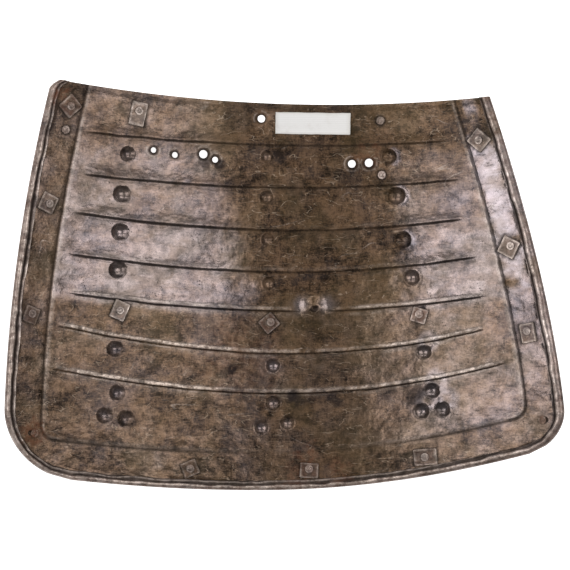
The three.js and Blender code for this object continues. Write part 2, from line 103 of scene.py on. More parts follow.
# Outline and bend of the plate, the same as the part's
TOP_WIDTH = 275 * MM
RIM_WIDTH = 351 * MM
TOP_SHIFT = -8.5 * MM
HEIGHT = 247 * MM
TOP_RISES = (14.1 * MM, 3.3 * MM)  # of the left and the right end over the lowest place
LOW_RISES = (15.2 * MM, 32.6 * MM)
TOP_LOWEST = 0.35
LOW_LOWEST = -0.085
LEFT_BOW = 2.0
RIGHT_BOW = 1.5
BEND_TOP = 300 * MM
BEND_LOW = 360 * MM
CORNER_LEFT = 40 * MM
CORNER_RIGHT = 22 * MM
TOP_BEVEL = 4.5 * MM
FLARE_BAND = 3 * MM
FLARE_DROP = 0.9 * MM
BORDER_SIDE = 22 * MM
BORDER_LOW = 23.8 * MM
BORDER_CORNER = 8 * MM
BORDER_SHARE = 0.87
LINE_FADE = 9 * MM
BOSS_RADIUS = 4.7 * MM
HOLE_DIAMETER = 5 * MM
SHANK_HOLE = 1.8 * MM
CLEARANCE = 0.3 * MM
GROOVE = 1.7 * MM  # from the border line's middle to its outer rows of points
BOSS_ROUNDNESS = 0.85
HEM_FOOT = 1.04  # where the turned edge meets the inner face, in widths of the edge
HEM_LIMIT = 0.985  # how near the turned edge comes to that place, as a share
LIP_MEAN = 0.86
RIVET_LENGTH = 6 * MM

# The part lies on its lowest bosses, so its sheet frame is turned and lifted by this
REST_TURN = Euler((math.radians(-0.1084), math.radians(0.4848), 0.0))
REST_PLACE = Vector((-0.151, -6.771, 3.658)) * MM
SHEET = Matrix.Translation(REST_PLACE) @ REST_TURN.to_matrix().to_4x4()


def table(columns, rows):
    """Rows of numbers as dictionaries."""
    return [dict(zip(columns.split(), row)) for row in rows]


# Lame lines. down, tilt, bow: where the crest lies, as shares of the height; left, right: how far it reaches;
# rise: its height; slope, step: widths of its upper and lower side; glint: how bright the crest is, partly
# worn and partly a painted highlight.
LAME_LINES = table("down tilt bow left right rise slope step glint", [
    (0.104, -0.004, 0.011, 0.83, 0.77, 0.55, 6.5, 1.8, 0.0),
    (0.214, -0.003, 0.009, 0.81, 0.79, 0.60, 6.5, 1.8, 0.0),
    (0.324, 0.003, -0.002, 0.82, 0.77, 0.72, 6.5, 1.9, 0.1),
    (0.433, 0.004, -0.006, 0.82, 0.79, 0.70, 6.0, 1.6, 0.2),
    (0.535, 0.011, -0.002, 0.80, 0.79, 0.80, 3.2, 1.1, 0.6),
    (0.645, 0.012, -0.035, 0.83, 0.77, 1.00, 3.2, 0.9, 1.0),
    (0.749, 0.008, -0.030, 0.84, 0.82, 1.05, 3.2, 0.9, 1.0),
])
LINE_TROUGH = 1.6 * MM  # the shallow trough below a line's step

# Mock rivets: (across, down, size), with across a share of the half width and down a share of the height
BOSSES = [
    (-0.627, 0.159, 0.96), (-0.633, 0.262, 1.12), (-0.626, 0.358, 1.10), (-0.624, 0.454, 1.14),
    (-0.620, 0.656, 1.04), (-0.608, 0.767, 0.96), (-0.652, 0.828, 1.00), (-0.576, 0.831, 1.04),
    (-0.026, 0.139, 0.88), (-0.032, 0.244, 0.94), (-0.033, 0.353, 0.88), (-0.033, 0.466, 0.90),
    (-0.029, 0.679, 0.96), (-0.034, 0.776, 1.02), (-0.080, 0.839, 0.94), (0.016, 0.827, 0.94),
    (0.506, 0.142, 1.00), (0.511, 0.248, 1.20), (0.512, 0.367, 1.14), (0.527, 0.469, 1.04),
    (0.539, 0.670, 0.94), (0.552, 0.776, 1.02), (0.509, 0.826, 1.00), (0.584, 0.830, 1.00),
]

# Open holes near the top edge: (across, down, size)
HOLES = [
    (-0.049, 0.041, 0.96), (-0.520, 0.142, 0.70), (-0.427, 0.149, 0.74), (-0.305, 0.141, 1.06),
    (-0.253, 0.153, 0.76), (0.342, 0.157, 1.00), (0.416, 0.156, 1.06),
]
DENT = (0.137, 0.528)

# Rivets: how worn and how rusty, then the sides of the washer, if it has one, and its angle in degrees
RIVET_ROWS = dict(
    left_1=(0.5, 0.4, 11.0, 11.7, -50), left_2=(0.6, 0.1, 10.6, 11.6, -27), left_3=(0.3, 0.2, 9.4, 10.5, -22),
    right_1=(0.65, 0.0, 12.1, 11.2, -40), right_2=(0.95, 0.15, 11.9, 11.9, -26),
    right_3=(0.65, 0.1, 9.9, 12.4, 11), top_left=(0.75, 0.0, 10.3, 15.4, -12),
    middle_1=(0.85, 0.0, 10.1, 12.1, -24), middle_2=(0.6, 0.4, 10.1, 10.7, -50),
    middle_3=(0.85, 0.5, 10.1, 9.5, -16), low_1=(0.35, 0.2, 10.6, 9.9, 22), low_2=(0.6, 0.4, 12.0, 9.7, -3),
    low_3=(0.65, 0.2, 15.4, 10.6, 5), left_plug=(0.4, 0.2), left_4=(0.1, 1.0), right_4=(0.2, 0.5),
    top_right=(0.3, 0.1), strap_plug=(0.9, 0.6),
)
RIVET_COLUMNS = ("worn", "rust", "width", "length", "turn")
RIVETS = {name: dict(zip(RIVET_COLUMNS, row)) for name, row in RIVET_ROWS.items()}
RINGS = dict(left_4=0.4, right_4=0.35)  # how dark the plate is round a rivet without a washer
RING = 0.95  # the same, where RINGS doesn't say

# Stains and rust on the inner face: (across, down, radius, strength)
SCABS = [
    (-0.189, 0.685, 3.6, 1.0), (-0.290, 0.778, 3.0, 0.6), (0.038, 0.757, 4.5, 1.0), (0.178, 0.767, 3.6, 1.0),
    (0.203, 0.778, 4.0, 0.9), (0.120, 0.765, 6.0, 0.6), (0.490, 0.785, 7.0, 0.7), (0.070, 0.772, 5.0, 0.7),
    (0.400, 0.760, 5.0, 0.5), (0.460, 0.745, 4.0, 0.6), (-0.235, 0.163, 4.0, 0.9),
    (0.355, 0.180, 6.0, 0.6), (0.307, 0.193, 5.0, 0.7), (0.410, 0.172, 5.0, 0.5), (0.137, 0.533, 3.0, 0.8),
    (0.555, 0.553, 2.2, 1.0), (-0.147, 0.030, 12.0, 0.35), (-0.300, 0.160, 4.5, 0.6),
]
# How far brown patina hides the grey of the steel, lame by lame from the top: (left, middle, right). Partly
# real patina and partly painted sheen: the grey shares sit where the lamps are seen reflected, and the lower
# lames are darker where they reflect less.
LAME_PATINA_AND_SHEEN = [
    (0.66, 1.00, 1.02), (0.36, 1.00, 0.65), (0.30, 1.00, 0.32), (0.16, 1.00, 0.10), (0.10, 1.00, 0.10),
    (0.84, 0.92, 0.56), (0.82, 0.82, 0.56), (0.84, 0.88, 0.44),
]
# Patina and painted sheen outside the border line; the right strip's share below 0 is a painted sheen.
STRIP_PATINA_AND_SHEEN = (0.76, 0.96, -0.60)  # outside the border line: left, below, right
RUST_PATCHES = [
    (-0.965, 0.031, 6.0, 1.0), (-0.939, 0.044, 5.0, 0.7), (0.091, 0.912, 8.0, 0.6), (0.055, 0.965, 9.0, 0.4),
    (0.201, 0.966, 9.0, 0.4), (-0.905, 0.893, 7.5, 0.8), (-0.258, 0.685, 9.0, 0.25), (0.400, 0.137, 9.0, 0.5),
    (-0.150, 0.650, 25.0, 0.2),
]


# Outline, bend and relief


def unit(value):
    return np.clip(value, 0, 1)


def half_span(v):
    rest = unit(1 - v)
    left = RIM_WIDTH / 2 + (TOP_WIDTH / 2 - TOP_SHIFT - RIM_WIDTH / 2) * rest**LEFT_BOW
    right = RIM_WIDTH / 2 + (TOP_WIDTH / 2 + TOP_SHIFT - RIM_WIDTH / 2) * rest**RIGHT_BOW
    return (left + right) / 2, (right - left) / 2


def edge_rise(u, lowest, rises):
    share = np.where(u < lowest, (u - lowest) / (-1 - lowest), (u - lowest) / (1 - lowest))
    return np.where(u < lowest, rises[0], rises[1]) * share**2


def top_edge(u):
    return HEIGHT / 2 + edge_rise(u, TOP_LOWEST, TOP_RISES)


def low_edge(u):
    return -HEIGHT / 2 + edge_rise(u, LOW_LOWEST, LOW_RISES)


def height_at(u):
    return top_edge(u) - low_edge(u)


def flat_point(u, v):
    half, middle = half_span(v)
    return middle + u * half, top_edge(u) * (1 - v) + low_edge(u) * v


def shares_at(x, y):
    """The shares (u across, v down) of a place on the plate, by a few steps of correction."""
    u, v = np.zeros_like(x), np.full_like(x, 0.5)
    for _ in range(12):
        half, middle = half_span(v)
        u = (x - middle) / half
        v = (top_edge(u) - y) / height_at(u)
    return u, v


def bend(x, y):
    """Height and normal of the smooth inner face: a cone-like trough, tighter at the top."""
    growth = (BEND_LOW - BEND_TOP) / HEIGHT
    radius = BEND_TOP + (BEND_LOW - BEND_TOP) * (0.5 - y / HEIGHT)
    root = np.sqrt(radius**2 - x**2)
    normal = np.stack([-x / root, growth * (1 - radius / root), np.ones_like(x)], axis=-1)
    return radius - root, normal / np.linalg.norm(normal, axis=-1, keepdims=True)


def over_sheet(x, y, height):
    z, normal = bend(x, y)
    return np.stack([x, y, z], axis=-1) + normal * np.asarray(height)[..., None]


def waves(x, y, cell, seed):
    """Smooth random heights from -1 to 1 over a plane, with swells as wide as one cell."""
    size = 64
    grid = np.random.default_rng(seed).uniform(-1, 1, (size, size))
    across, up = x / cell + size / 2 + 0.37, y / cell + size / 2 + 0.71
    i, j = np.floor(across).astype(int), np.floor(up).astype(int)
    a, b = across - i, up - j
    a, b = a * a * a * (a * (a * 6 - 15) + 10), b * b * b * (b * (b * 6 - 15) + 10)
    corner = lambda p, q: grid[(i + p) % size, (j + q) % size]
    low = corner(0, 0) * (1 - a) + corner(1, 0) * a
    high = corner(0, 1) * (1 - a) + corner(1, 1) * a
    return low * (1 - b) + high * b


def bump(distance, width):
    """A round-topped share: 1 at no distance, near 0 past the width."""
    return np.exp(-((distance / width) ** 2))


def line_crest(line, u):
    return line["down"] + line["tilt"] * u + line["bow"] * u * u


def line_place(line, u, v):
    """Distance below a lame line's crest, and how much of the line is left near its ends."""
    below = (v - line_crest(line, u)) * HEIGHT + 0.25 * MM * waves(u, np.full_like(u, line["down"]), 0.09, 61)
    end = np.where(u < 0, line["left"], line["right"]) - np.abs(u)
    left = unit(end * RIM_WIDTH / 2 / LINE_FADE)
    if line["down"] < DENT[1] + 0.02 and line["down"] > DENT[1] - 0.02:
        left = left * unit((np.abs(u - DENT[0]) - 0.05) / 0.05)
    return below, left


def border_gaps(u, v):
    """Distances inside the side parts and the lower part of the border line."""
    return (1 - np.abs(u)) * half_span(v)[0] - BORDER_SIDE, (1 - v) * height_at(u) - BORDER_LOW


def border_place(u, v):
    """Distance inside the border line, which rounds the two lower corners."""
    from_side, from_low = border_gaps(u, v)
    near = (from_side < BORDER_CORNER) & (from_low < BORDER_CORNER)
    rounded = BORDER_CORNER - np.hypot(BORDER_CORNER - from_side, BORDER_CORNER - from_low)
    return np.where(near, rounded, np.minimum(from_side, from_low))


def border_strength(u, v):
    """The border line is faint and broken in the middle of the lower edge."""
    worn = unit(1.25 - np.abs(u - 0.05) / 0.4) * unit((v - 0.8) / 0.05)
    return 1 - 0.75 * worn


def flat_offset(place, x, y):
    px, py = flat_point(np.float64(place[0]), np.float64(place[1]))
    return x - px, y - py


def spot_distance(place, x, y):
    return np.hypot(*flat_offset(place, x, y))


def boss_reaches(x, y):
    """Each mock rivet with the distance from its middle, in its own radii."""
    for across, down, size in BOSSES:
        yield across, down, size, spot_distance((across, down), x, y) / (size * BOSS_RADIUS)


def hole_distances(x, y):
    """Distances outside the open holes."""
    return [spot_distance(place, x, y) - place[2] * HOLE_DIAMETER / 2 for place in HOLES]


def relief(sizes, x, y, u, v):
    """Height of the beaten inner face over the smooth one."""
    height = -sizes.border_depth * border_strength(u, v) * bump(border_place(u, v), 0.8 * MM)
    for line in LAME_LINES:
        below, left = line_place(line, u, v)
        rise = line["rise"] * sizes.line_rise
        slope, step = line["slope"] * MM, line["step"] * MM
        up = unit(1 + below / slope) ** 1.4
        down = unit(1 - below / step)
        trough = 0.22 * rise * bump(below - step - 0.3 * LINE_TROUGH, 0.5 * LINE_TROUGH)
        height = height + left * (rise * np.where(below < 0, up, down * down * (3 - 2 * down)) - trough)
    for _, _, size, reach in boss_reaches(x, y):
        bowl = unit(1 - reach**2) ** BOSS_ROUNDNESS
        height = height - sizes.boss_depth * size * bowl + 0.05 * MM * bump(reach - 1.16, 0.17)
    across, up = flat_offset(DENT, x, y)
    torn = bump(np.hypot(across - 1.4 * MM, up + 0.6 * MM), 1.3 * MM)
    height = height + sizes.dent_height * (bump(np.hypot(across, up), 5.6 * MM) - 0.5 * torn)
    for distance in hole_distances(x, y):
        height = height + 0.25 * MM * bump(distance, 0.9 * MM)
    beaten = waves(x, y, 27 * MM, 3) + 0.5 * waves(x, y, 12 * MM, 5) + 0.22 * waves(x, y, 5.5 * MM, 8)
    height = height + sizes.hammer_height * beaten
    return height - FLARE_DROP * unit(1 - v * height_at(u) / FLARE_BAND)


# The plate's mesh


def spaced(first, last, count):
    return [first + (last - first) * k / count for k in range(count)]


def key_rows(sizes, u, inset):
    """Shares down of the rows that follow the lines and the edges, for each place across."""
    tall = height_at(u)
    rows = [np.zeros_like(u), FLARE_BAND / tall]
    for line in LAME_LINES:
        crest = line_crest(line, u)
        step = line["step"] * MM
        rows += [crest - line["slope"] * MM / HEIGHT, crest]
        rows += [crest + step / HEIGHT, crest + (step + LINE_TROUGH) / HEIGHT]
    for low in (1.25 * CORNER_LEFT, 0.85 * CORNER_LEFT, BORDER_LOW + GROOVE, BORDER_LOW):
        rows.append(1 - low / tall)
    for share in (1 - GROOVE / BORDER_LOW, 0.6, 0.3, 0.1, 0):
        rows.append(1 - (inset + share * (BORDER_LOW - inset)) / tall)
    return np.array(rows)


def row_places(sizes):
    """Each row as a key row and a share of the way to the next one."""
    keys = key_rows(sizes, np.zeros(1), 0.0)[:, 0] * HEIGHT
    lines_end = 2 + 4 * len(LAME_LINES)
    places = []
    for k, gap in enumerate(np.diff(keys)):
        on_line = 2 <= k < lines_end - 1 and (k - 2) % 4 < 3
        spacing = (0.9 * MM, 0.42 * MM, 0.8 * MM)[(k - 2) % 4] if on_line else sizes.mesh_spacing
        if k >= lines_end + 1:
            spacing = 0.75 * sizes.mesh_spacing
        places += [(k, share) for share in spaced(0, 1, max(1, round(gap / spacing)))]
    return places + [(len(keys) - 2, 1.0)]


def column_places(sizes):
    """Shares across, closer together at the border lines."""
    half = RIM_WIDTH / 2 - BORDER_SIDE
    groove = GROOVE / half * BORDER_SHARE
    inner = BORDER_SHARE - groove
    strip = spaced(1, BORDER_SHARE + groove, max(4, round(18 * MM / sizes.mesh_spacing)))
    side = strip + spaced(BORDER_SHARE + groove, inner, 6)
    count = round(2 * inner / BORDER_SHARE * half / sizes.mesh_spacing)
    return np.array([-s for s in side] + spaced(-inner, inner, count) + [inner] + side[::-1])


def corner_cut(from_low, from_top, radius, bevel):
    """How far the rounded or bevelled corners cut into a row."""
    rest = radius - np.clip(from_low, 0, radius)
    rounded = radius - np.sqrt(np.maximum(radius**2 - rest**2, 0))
    return np.where(from_top < bevel, bevel - from_top, rounded)


def mesh_shares(sizes, inset):
    """Shares (u, v) of all grid points when the outline is drawn inset by some width."""
    places = row_places(sizes)
    across = column_places(sizes)
    key = np.array([k for k, _ in places])
    share = np.array([t for _, t in places])[:, None]
    s = np.broadcast_to(across, (len(places), len(across))).copy()
    rows = np.arange(len(places))
    u = s.copy()
    for _ in range(10):
        keys = key_rows(sizes, u, inset)
        v = keys[key, rows] * (1 - share) + keys[key + 1, rows] * share
        tall = height_at(u)
        radius = np.where(s < 0, CORNER_LEFT, CORNER_RIGHT) - inset
        bevel = np.where(s < 0, TOP_BEVEL, 0.0)
        cut = corner_cut((1 - v) * tall - inset, v * tall, radius, bevel)
        half = half_span(v)[0]
        limit = 1 - (inset + cut) / half
        border = np.minimum(1 - BORDER_SIDE / half, 0.93 * limit)
        reach = np.abs(s)
        in_panel = reach / BORDER_SHARE * border
        in_border = border + (reach - BORDER_SHARE) / (1 - BORDER_SHARE) * (limit - border)
        u = np.sign(s) * np.where(reach <= BORDER_SHARE, in_panel, in_border)
    return u, v


FINER = 3  # cells near small features are cut this many times finer each way
NEAR_DENT = 13 * MM  # how far that reaches
NEAR_BOSS = 1.45  # in radii of the boss
NEAR_HOLE = 2.8 * MM
NEAR_CORNER = 10 * MM
NEAR_BORDER = 3 * MM


def lattice(wanted, gone):
    """Faces of a grid whose wanted cells are cut finer; gone(i, j) leaves out small cells.

    Points are (row, column) on the fine lattice. A plain cell beside a cut one has the extra points in its
    outline.
    """
    rows, columns = wanted.shape
    is_cut = lambda r, c: 0 <= r < rows and 0 <= c < columns and wanted[r, c]
    faces = []
    for r, c in np.ndindex(rows, columns):
        i, j = r * FINER, c * FINER
        if wanted[r, c]:
            small = [(i + a, j + b) for a, b in np.ndindex(FINER, FINER) if not gone(i + a, j + b)]
            faces += [[(p, q), (p + 1, q), (p + 1, q + 1), (p, q + 1)] for p, q in small]
            continue
        outline = []
        sides = [((i, j), (1, 0), (r, c - 1)), ((i + FINER, j), (0, 1), (r + 1, c)),
                 ((i + FINER, j + FINER), (-1, 0), (r, c + 1)), ((i, j + FINER), (0, -1), (r - 1, c))]
        for (a, b), (da, db), neighbour in sides:
            steps = FINER if is_cut(*neighbour) else 1
            outline += [(a + da * k, b + db * k) for k in range(steps)]
        faces.append(outline)
    return faces


def at_lattice(values, points):
    """Values of the coarse grid at points of the fine lattice."""
    i, j = points[:, 0] / FINER, points[:, 1] / FINER
    r = np.minimum(i.astype(int), values.shape[0] - 2)
    c = np.minimum(j.astype(int), values.shape[1] - 2)
    a, b = i - r, j - c
    return (values[r, c] * (1 - a) * (1 - b) + values[r + 1, c] * a * (1 - b)
            + values[r, c + 1] * (1 - a) * b + values[r + 1, c + 1] * a * b)


# Section of the turned edge. within: share of its width from the outline; up: share of its height; bright:
# how worn, partly a painted highlight on the top of the roll and on the lip; the last column: how dark,
# partly grime and partly painted shade in the channel and at the foot.
HEM_SECTION = table("within up bright dirt", [
    (0.00, -0.12, 0.2, 0.3), (0.00, 0.30, 0.4, 0.1), (0.05, 0.66, 0.7, 0.0), (0.15, 0.88, 0.9, 0.0),
    (0.28, 1.00, 1.2, 0.0), (0.38, 0.96, 1.0, 0.0), (0.48, 0.78, 0.1, 0.5), (0.57, 0.60, 0.0, 1.0),
    (0.67, 0.56, 0.0, 0.9), (0.78, 0.62, 0.5, 0.3), (0.87, 0.64, 1.2, 0.0), (0.95, 0.48, 0.7, 0.1),
    (0.985, 0.22, 0.0, 0.8), (HEM_FOOT, 0.03, 0.0, 0.9),
])


def hem_variation(x, y):
    """How the turned edge wanders in width, height, channel and wear along the outline, and how its painted
    highlights change from side to side.
    """
    left = unit((-x - 0.10) / 0.05)
    right = unit((x - 0.08) / 0.05)
    upper_left = unit(y / 0.10) * left
    return dict(
        lip=LIP_MEAN + 0.12 * waves(x, y, 15 * MM, 21) + 0.05 * waves(x, y, 5 * MM, 22),
        height=1 + 0.14 * waves(x, y, 10 * MM, 23) + 0.10 * waves(x, y, 4 * MM, 24),
        channel=1 + 0.20 * waves(x, y, 9 * MM, 25),
        inward=0.2 * (1 - left) + 0.7 * right + 0.12 * waves(x, y, 12 * MM, 29),
        outer_bright=0.35 + 0.75 * left - 0.35 * upper_left,
        lip_bright=1.0 - 0.8 * right - 0.25 * left - 0.5 * bump(x + 0.01, 0.035),
        bright=1.0 + 0.4 * waves(x, y, 8 * MM, 26) + 0.4 * waves(x, y, 2.5 * MM, 28) - 0.35 * upper_left,
        streaks=0.3 * waves(x, y, 2.5 * MM, 27),
    )


def sheet_place(node):
    """The middle of a CAD node's box, in the sheet frame."""
    low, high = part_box(node)
    return SHEET.inverted() @ ((low + high) / 2)


def washer_places():
    return {name: sheet_place("washer_" + name) for name, rivet in RIVETS.items() if "width" in rivet}


def washer_edge(x, y, place, rivet):
    """Distance outside a washer's outline, in the flat."""
    turn = math.radians(rivet["turn"])
    dx, dy = x - place.x, y - place.y
    a = np.abs(dx * math.cos(turn) + dy * math.sin(turn)) - rivet["width"] * MM / 2
    b = np.abs(-dx * math.sin(turn) + dy * math.cos(turn)) - rivet["length"] * MM / 2
    return np.hypot(np.maximum(a, 0), np.maximum(b, 0)) + np.minimum(np.maximum(a, b), 0)


def surface_masks(x, y, u, v):
    """Grime and painted shade, worn steel and painted glints, rust and scabs on the inner face, each from 0
    to 1, and its brown patina with its painted sheen.
    """
    uneven = waves(x, y, 7 * MM, 35)
    low_line = unit((v - 0.86) / 0.04)
    # Painted shade in the border line, partly grime, and a painted highlight along its inner side.
    dirt = [border_strength(u, v) * bump(border_place(u, v), (0.55 + 0.4 * low_line) * MM)]
    worn = [0.35 * border_strength(u, v) * bump(border_place(u, v) - 1.3 * MM, 0.5 * MM)]
    # How bright the painted glint on the lame crests is along the line, fainter in the middle across.
    crest_glint = 0.9 + 0.4 * waves(x, y, 9 * MM, 31) + 0.3 * waves(x, y, 3 * MM, 36) - 0.6 * bump(u - 0.1, 0.3)
    for line in LAME_LINES:
        below, left = line_place(line, u, v)
        step, glint = line["step"] * MM, line["glint"]
        core = np.maximum(np.abs(below - 0.6 * step) - 0.22 * MM * (1 - glint), 0)
        # A painted dark line at each lame line's step, partly grime. On the upper lines, a broad painted
        # shade below it.
        dirt.append(left * (0.75 + 0.25 * uneven) * bump(core, (0.38 + 0.12 * uneven) * step))
        dirt.append(0.2 * left * (1 - glint) * bump(below - 1.2 * step, 1.8 * step))
        # Painted highlight on the crest of the lower lines and a thin one below their step, partly real wear.
        worn.append(glint * left * crest_glint * bump(below + 1.2 * MM, 1.0 * MM))
        worn.append(0.5 * glint * left * crest_glint * bump(below - 2.2 * step, 0.4 * MM))
    # Darker rings at the bosses' rims and round the holes, and a lighter ring round each hole.
    for across, _, _, reach in boss_reaches(x, y):
        dirt.append((0.3 if abs(across) < 0.1 else 0.5) * bump(reach - 0.88, 0.17))
    for distance in hole_distances(x, y):
        dirt.append(bump(np.maximum(distance - 0.4 * MM - 0.5 * MM * uneven, 0), 1.0 * MM))
        worn.append(0.5 * bump(distance - 2.3 * MM, 0.4 * MM) * (uneven > 0))
    # Painted shade in a band under the middle of the top edge.
    near_label = unit(1.6 - np.abs(u - 0.14) / 0.25)
    dirt.append(0.75 * bump(v * height_at(u) - 2.2 * MM, 2.2 * MM) * near_label)
    to_sheet = SHEET.inverted()
    for name, rivet in RIVETS.items():
        if "width" not in rivet:
            end = to_sheet @ rivet_axis(name)[1]
            outside = np.maximum(np.hypot(x - end.x, y - end.y) - 2.9 * MM, 0)
            dirt.append(RINGS.get(name, RING) * bump(outside, 1.0 * MM))
    # Painted shade round each washer's edge.
    for name, place in washer_places().items():
        dirt.append(bump(np.maximum(washer_edge(x, y, place, RIVETS[name]), 0), 0.7 * MM))
    # Painted shade along the right side, beside the turned edge.
    from_edge = (1 - u) * half_span(v)[1] - 6.6 * MM
    dirt.append(0.7 * bump(from_edge, 1.1 * MM) * unit((v - 0.12) / 0.05) * (u > 0))
    masks = {key: unit(np.maximum.reduce(parts)) for key, parts in (("dirt", dirt), ("worn", worn))}
    # The patina share also carries the painted sheen.
    masks["brown"] = patina_and_painted_sheen(x, y, u, v)
    for name, spots, raggedness in (("scab", SCABS, 0.5), ("rust", RUST_PATCHES, 1.0)):
        ragged = 1 + raggedness * (0.5 * waves(x, y, 4 * MM, 33) + 0.35 * waves(x, y, 1.8 * MM, 34))
        parts = [np.zeros_like(x)]
        for across, down, radius, strength in spots:
            reach = spot_distance((across, down), x, y) / (radius * MM)
            parts.append(strength * unit(3.0 * (1.05 * ragged - reach)))
        masks[name] = np.maximum.reduce(parts)
    return masks


def patina_and_painted_sheen(x, y, u, v):
    """How far the brown patina covers the steel, lame by lame, together with a painted sheen: 1 is dull
    patina, and below 0 the steel shines. Where it shines follows where the lamps are seen reflected.
    """
    ragged = 0.05 * waves(x, y, 16 * MM, 51) + 0.05 * waves(x, y, 6 * MM, 52)
    ragged = ragged + 0.03 * waves(x, 0.4 * y, 1.6 * MM, 53)
    lower = unit((v - 0.52) / 0.05)
    softness = 0.15 + 0.25 * lower
    # Left and right edges of the painted sheen, where the lamps' reflections end.
    to_left = unit((-0.235 + 0.34 * (v - 0.17) - u + ragged) / softness + 0.5)
    to_right = unit((u - 0.475 - 0.1 * (v - 0.17) + 0.12 * lower + ragged) / softness + 0.5)
    mixed = lambda row: row[1] + (row[0] - row[1]) * to_left + (row[2] - row[1]) * to_right
    brown = mixed(LAME_PATINA_AND_SHEEN[0])
    for line, row, above in zip(LAME_LINES, LAME_PATINA_AND_SHEEN[1:], LAME_PATINA_AND_SHEEN):
        past = unit((v - line_crest(line, u)) / (0.008 + 0.05 * (1 - line["glint"])))
        brown = brown + (mixed(row) - mixed(above)) * past
    past = unit(1 - border_place(u, v) / (1.5 * MM))
    # The right strip: a painted sheen, brightest in its upper part and its middle, duller at the very top,
    # below and towards its edges.
    strip = mixed(STRIP_PATINA_AND_SHEEN) + 1.2 * to_right * unit((v - 0.3) / 0.6)
    strip = strip + 1.1 * to_right * unit((0.17 - v) / 0.07)
    strip = strip + to_right * (1 - lower) * (0.8 * waves(x, y, 7 * MM, 54) + 0.3 * waves(x, y, 3 * MM, 55))
    from_middle = np.abs(border_place(u, v) + 8 * MM) / (6 * MM)
    strip = strip + 0.4 * to_right * (1 - lower) * unit(2 * from_middle - 1)
    brown = brown + (strip - brown) * past + 2 * ragged
    # Painted highlights inside the bosses. The upper right ones get a painted bright crescent on their right
    # and painted shade on their left. The lower right ones get a painted bright halo above and to the right.
    for across, down, size, reach in boss_reaches(x, y):
        brown = brown - (0.2 if down < 0.5 else 0.6) * bump(reach, 0.85)
        spot = lambda right, lower: spot_distance((across + right, down + lower), x, y)
        if across > 0.3 and down > 0.5:
            brown = brown - 0.7 * bump(spot(0.02, -0.026) - BOSS_RADIUS, 2.2 * MM)
        elif across > 0.3 and down < 0.4:
            brown = brown + 0.5 * bump(spot(-0.06, 0.005), 9 * MM)
            facing = unit((u - across) / 0.03)
            brown = brown - facing * bump(spot(0.006, 0) - size * BOSS_RADIUS - 0.6 * MM, 1.2 * MM)
    # Painted highlights on the two flanks of the dent.
    for side in (-0.050, 0.050):
        brown = brown - bump(spot_distance((DENT[0] + side, DENT[1] - 0.006), x, y), 5.6 * MM)
    return np.clip(brown, -0.7, 1)


def find_openings():
    """Every hole in the plate as (across, down, radius): the open ones, then those of the rivets."""
    openings = [(across, down, size * HOLE_DIAMETER / 2) for across, down, size in HOLES]
    to_sheet = SHEET.inverted()
    for name in RIVETS:
        head = to_sheet @ rivet_axis(name)[0]
        across, down = shares_at(np.float64(head.x), np.float64(head.y))
        openings.append((float(across), float(down), SHANK_HOLE))
    return openings


def cells_to_cut(x, y, u, v, openings):
    """The cells near the dent, the bosses, the holes and the border's corners, from the grid's points."""
    x, y, u, v = ((a[:-1, :-1] + a[1:, :-1] + a[:-1, 1:] + a[1:, 1:]) / 4 for a in (x, y, u, v))
    wanted = spot_distance(DENT, x, y) < NEAR_DENT
    for _, _, _, reach in boss_reaches(x, y):
        wanted |= reach < NEAR_BOSS
    for place in openings:
        wanted |= spot_distance(place, x, y) < place[2] + NEAR_HOLE
    from_side, from_low = border_gaps(u, v)
    at_corner = (np.abs(from_side) < NEAR_CORNER) & (np.abs(from_low) < NEAR_CORNER)
    wanted |= at_corner & (np.abs(border_place(u, v)) < NEAR_BORDER)
    wanted[:1] = wanted[-1:] = wanted[:, :1] = wanted[:, -1:] = False
    return wanted


def pierced_cells(wanted, x, y, openings):
    """The small cells that lie in an opening, with the opening's number."""
    pierced = {}
    for cell in np.argwhere(wanted):
        block = cell * FINER + np.array(list(np.ndindex(FINER, FINER))) + 0.5
        bx, by = at_lattice(x, block), at_lattice(y, block)
        for number, place in enumerate(openings):
            for i, j in block[spot_distance(place, bx, by) < place[2]].astype(int).tolist():
                pierced[i, j] = number
    return pierced


def turned_edge(sizes, rows, columns, inner, foot):
    """Points and masks of the turned edge, one set for each place of its section, along the outline."""
    eu, ev = (grid[rows, columns] for grid in mesh_shares(sizes, 0.0))
    fu, fv = (grid[rows, columns] for grid in inner)
    way = hem_variation(*flat_point(eu, ev))
    sets = []
    for step in HEM_SECTION:
        place = step["within"]
        within = place * (way["lip"] / LIP_MEAN if place > 0.6 else way["channel"])
        within = within + way["inward"] * within * unit(HEM_FOOT - within)
        share = np.minimum(within * sizes.hem_width / foot, HEM_LIMIT)
        u, v = eu + (fu - eu) * share, ev + (fv - ev) * share
        x, y = flat_point(u, v)
        points = over_sheet(x, y, step["up"] * sizes.hem_height * (way["height"] if step["up"] > 0.1 else 1))
        wear = way["outer_bright"] if place < 0.2 else way["lip_bright"] if place > 0.7 else 1
        masks = surface_masks(x, y, u, v)
        # Worn steel and painted highlights on the top of the roll and the lip, changing by side.
        masks["worn"] = unit(step["bright"] * wear * way["bright"])
        # Grime and painted shade in the channel and at the foot, with streaks.
        masks["dirt"] = unit(step["dirt"] + way["streaks"])
        masks["rust"] = np.maximum(masks["rust"], (0.30 if place < 0.45 else 0.0) * (1 + way["streaks"]))
        masks["brown"] = 0.5 * masks["brown"] + 0.1
        sets.append((points, masks))
    return sets


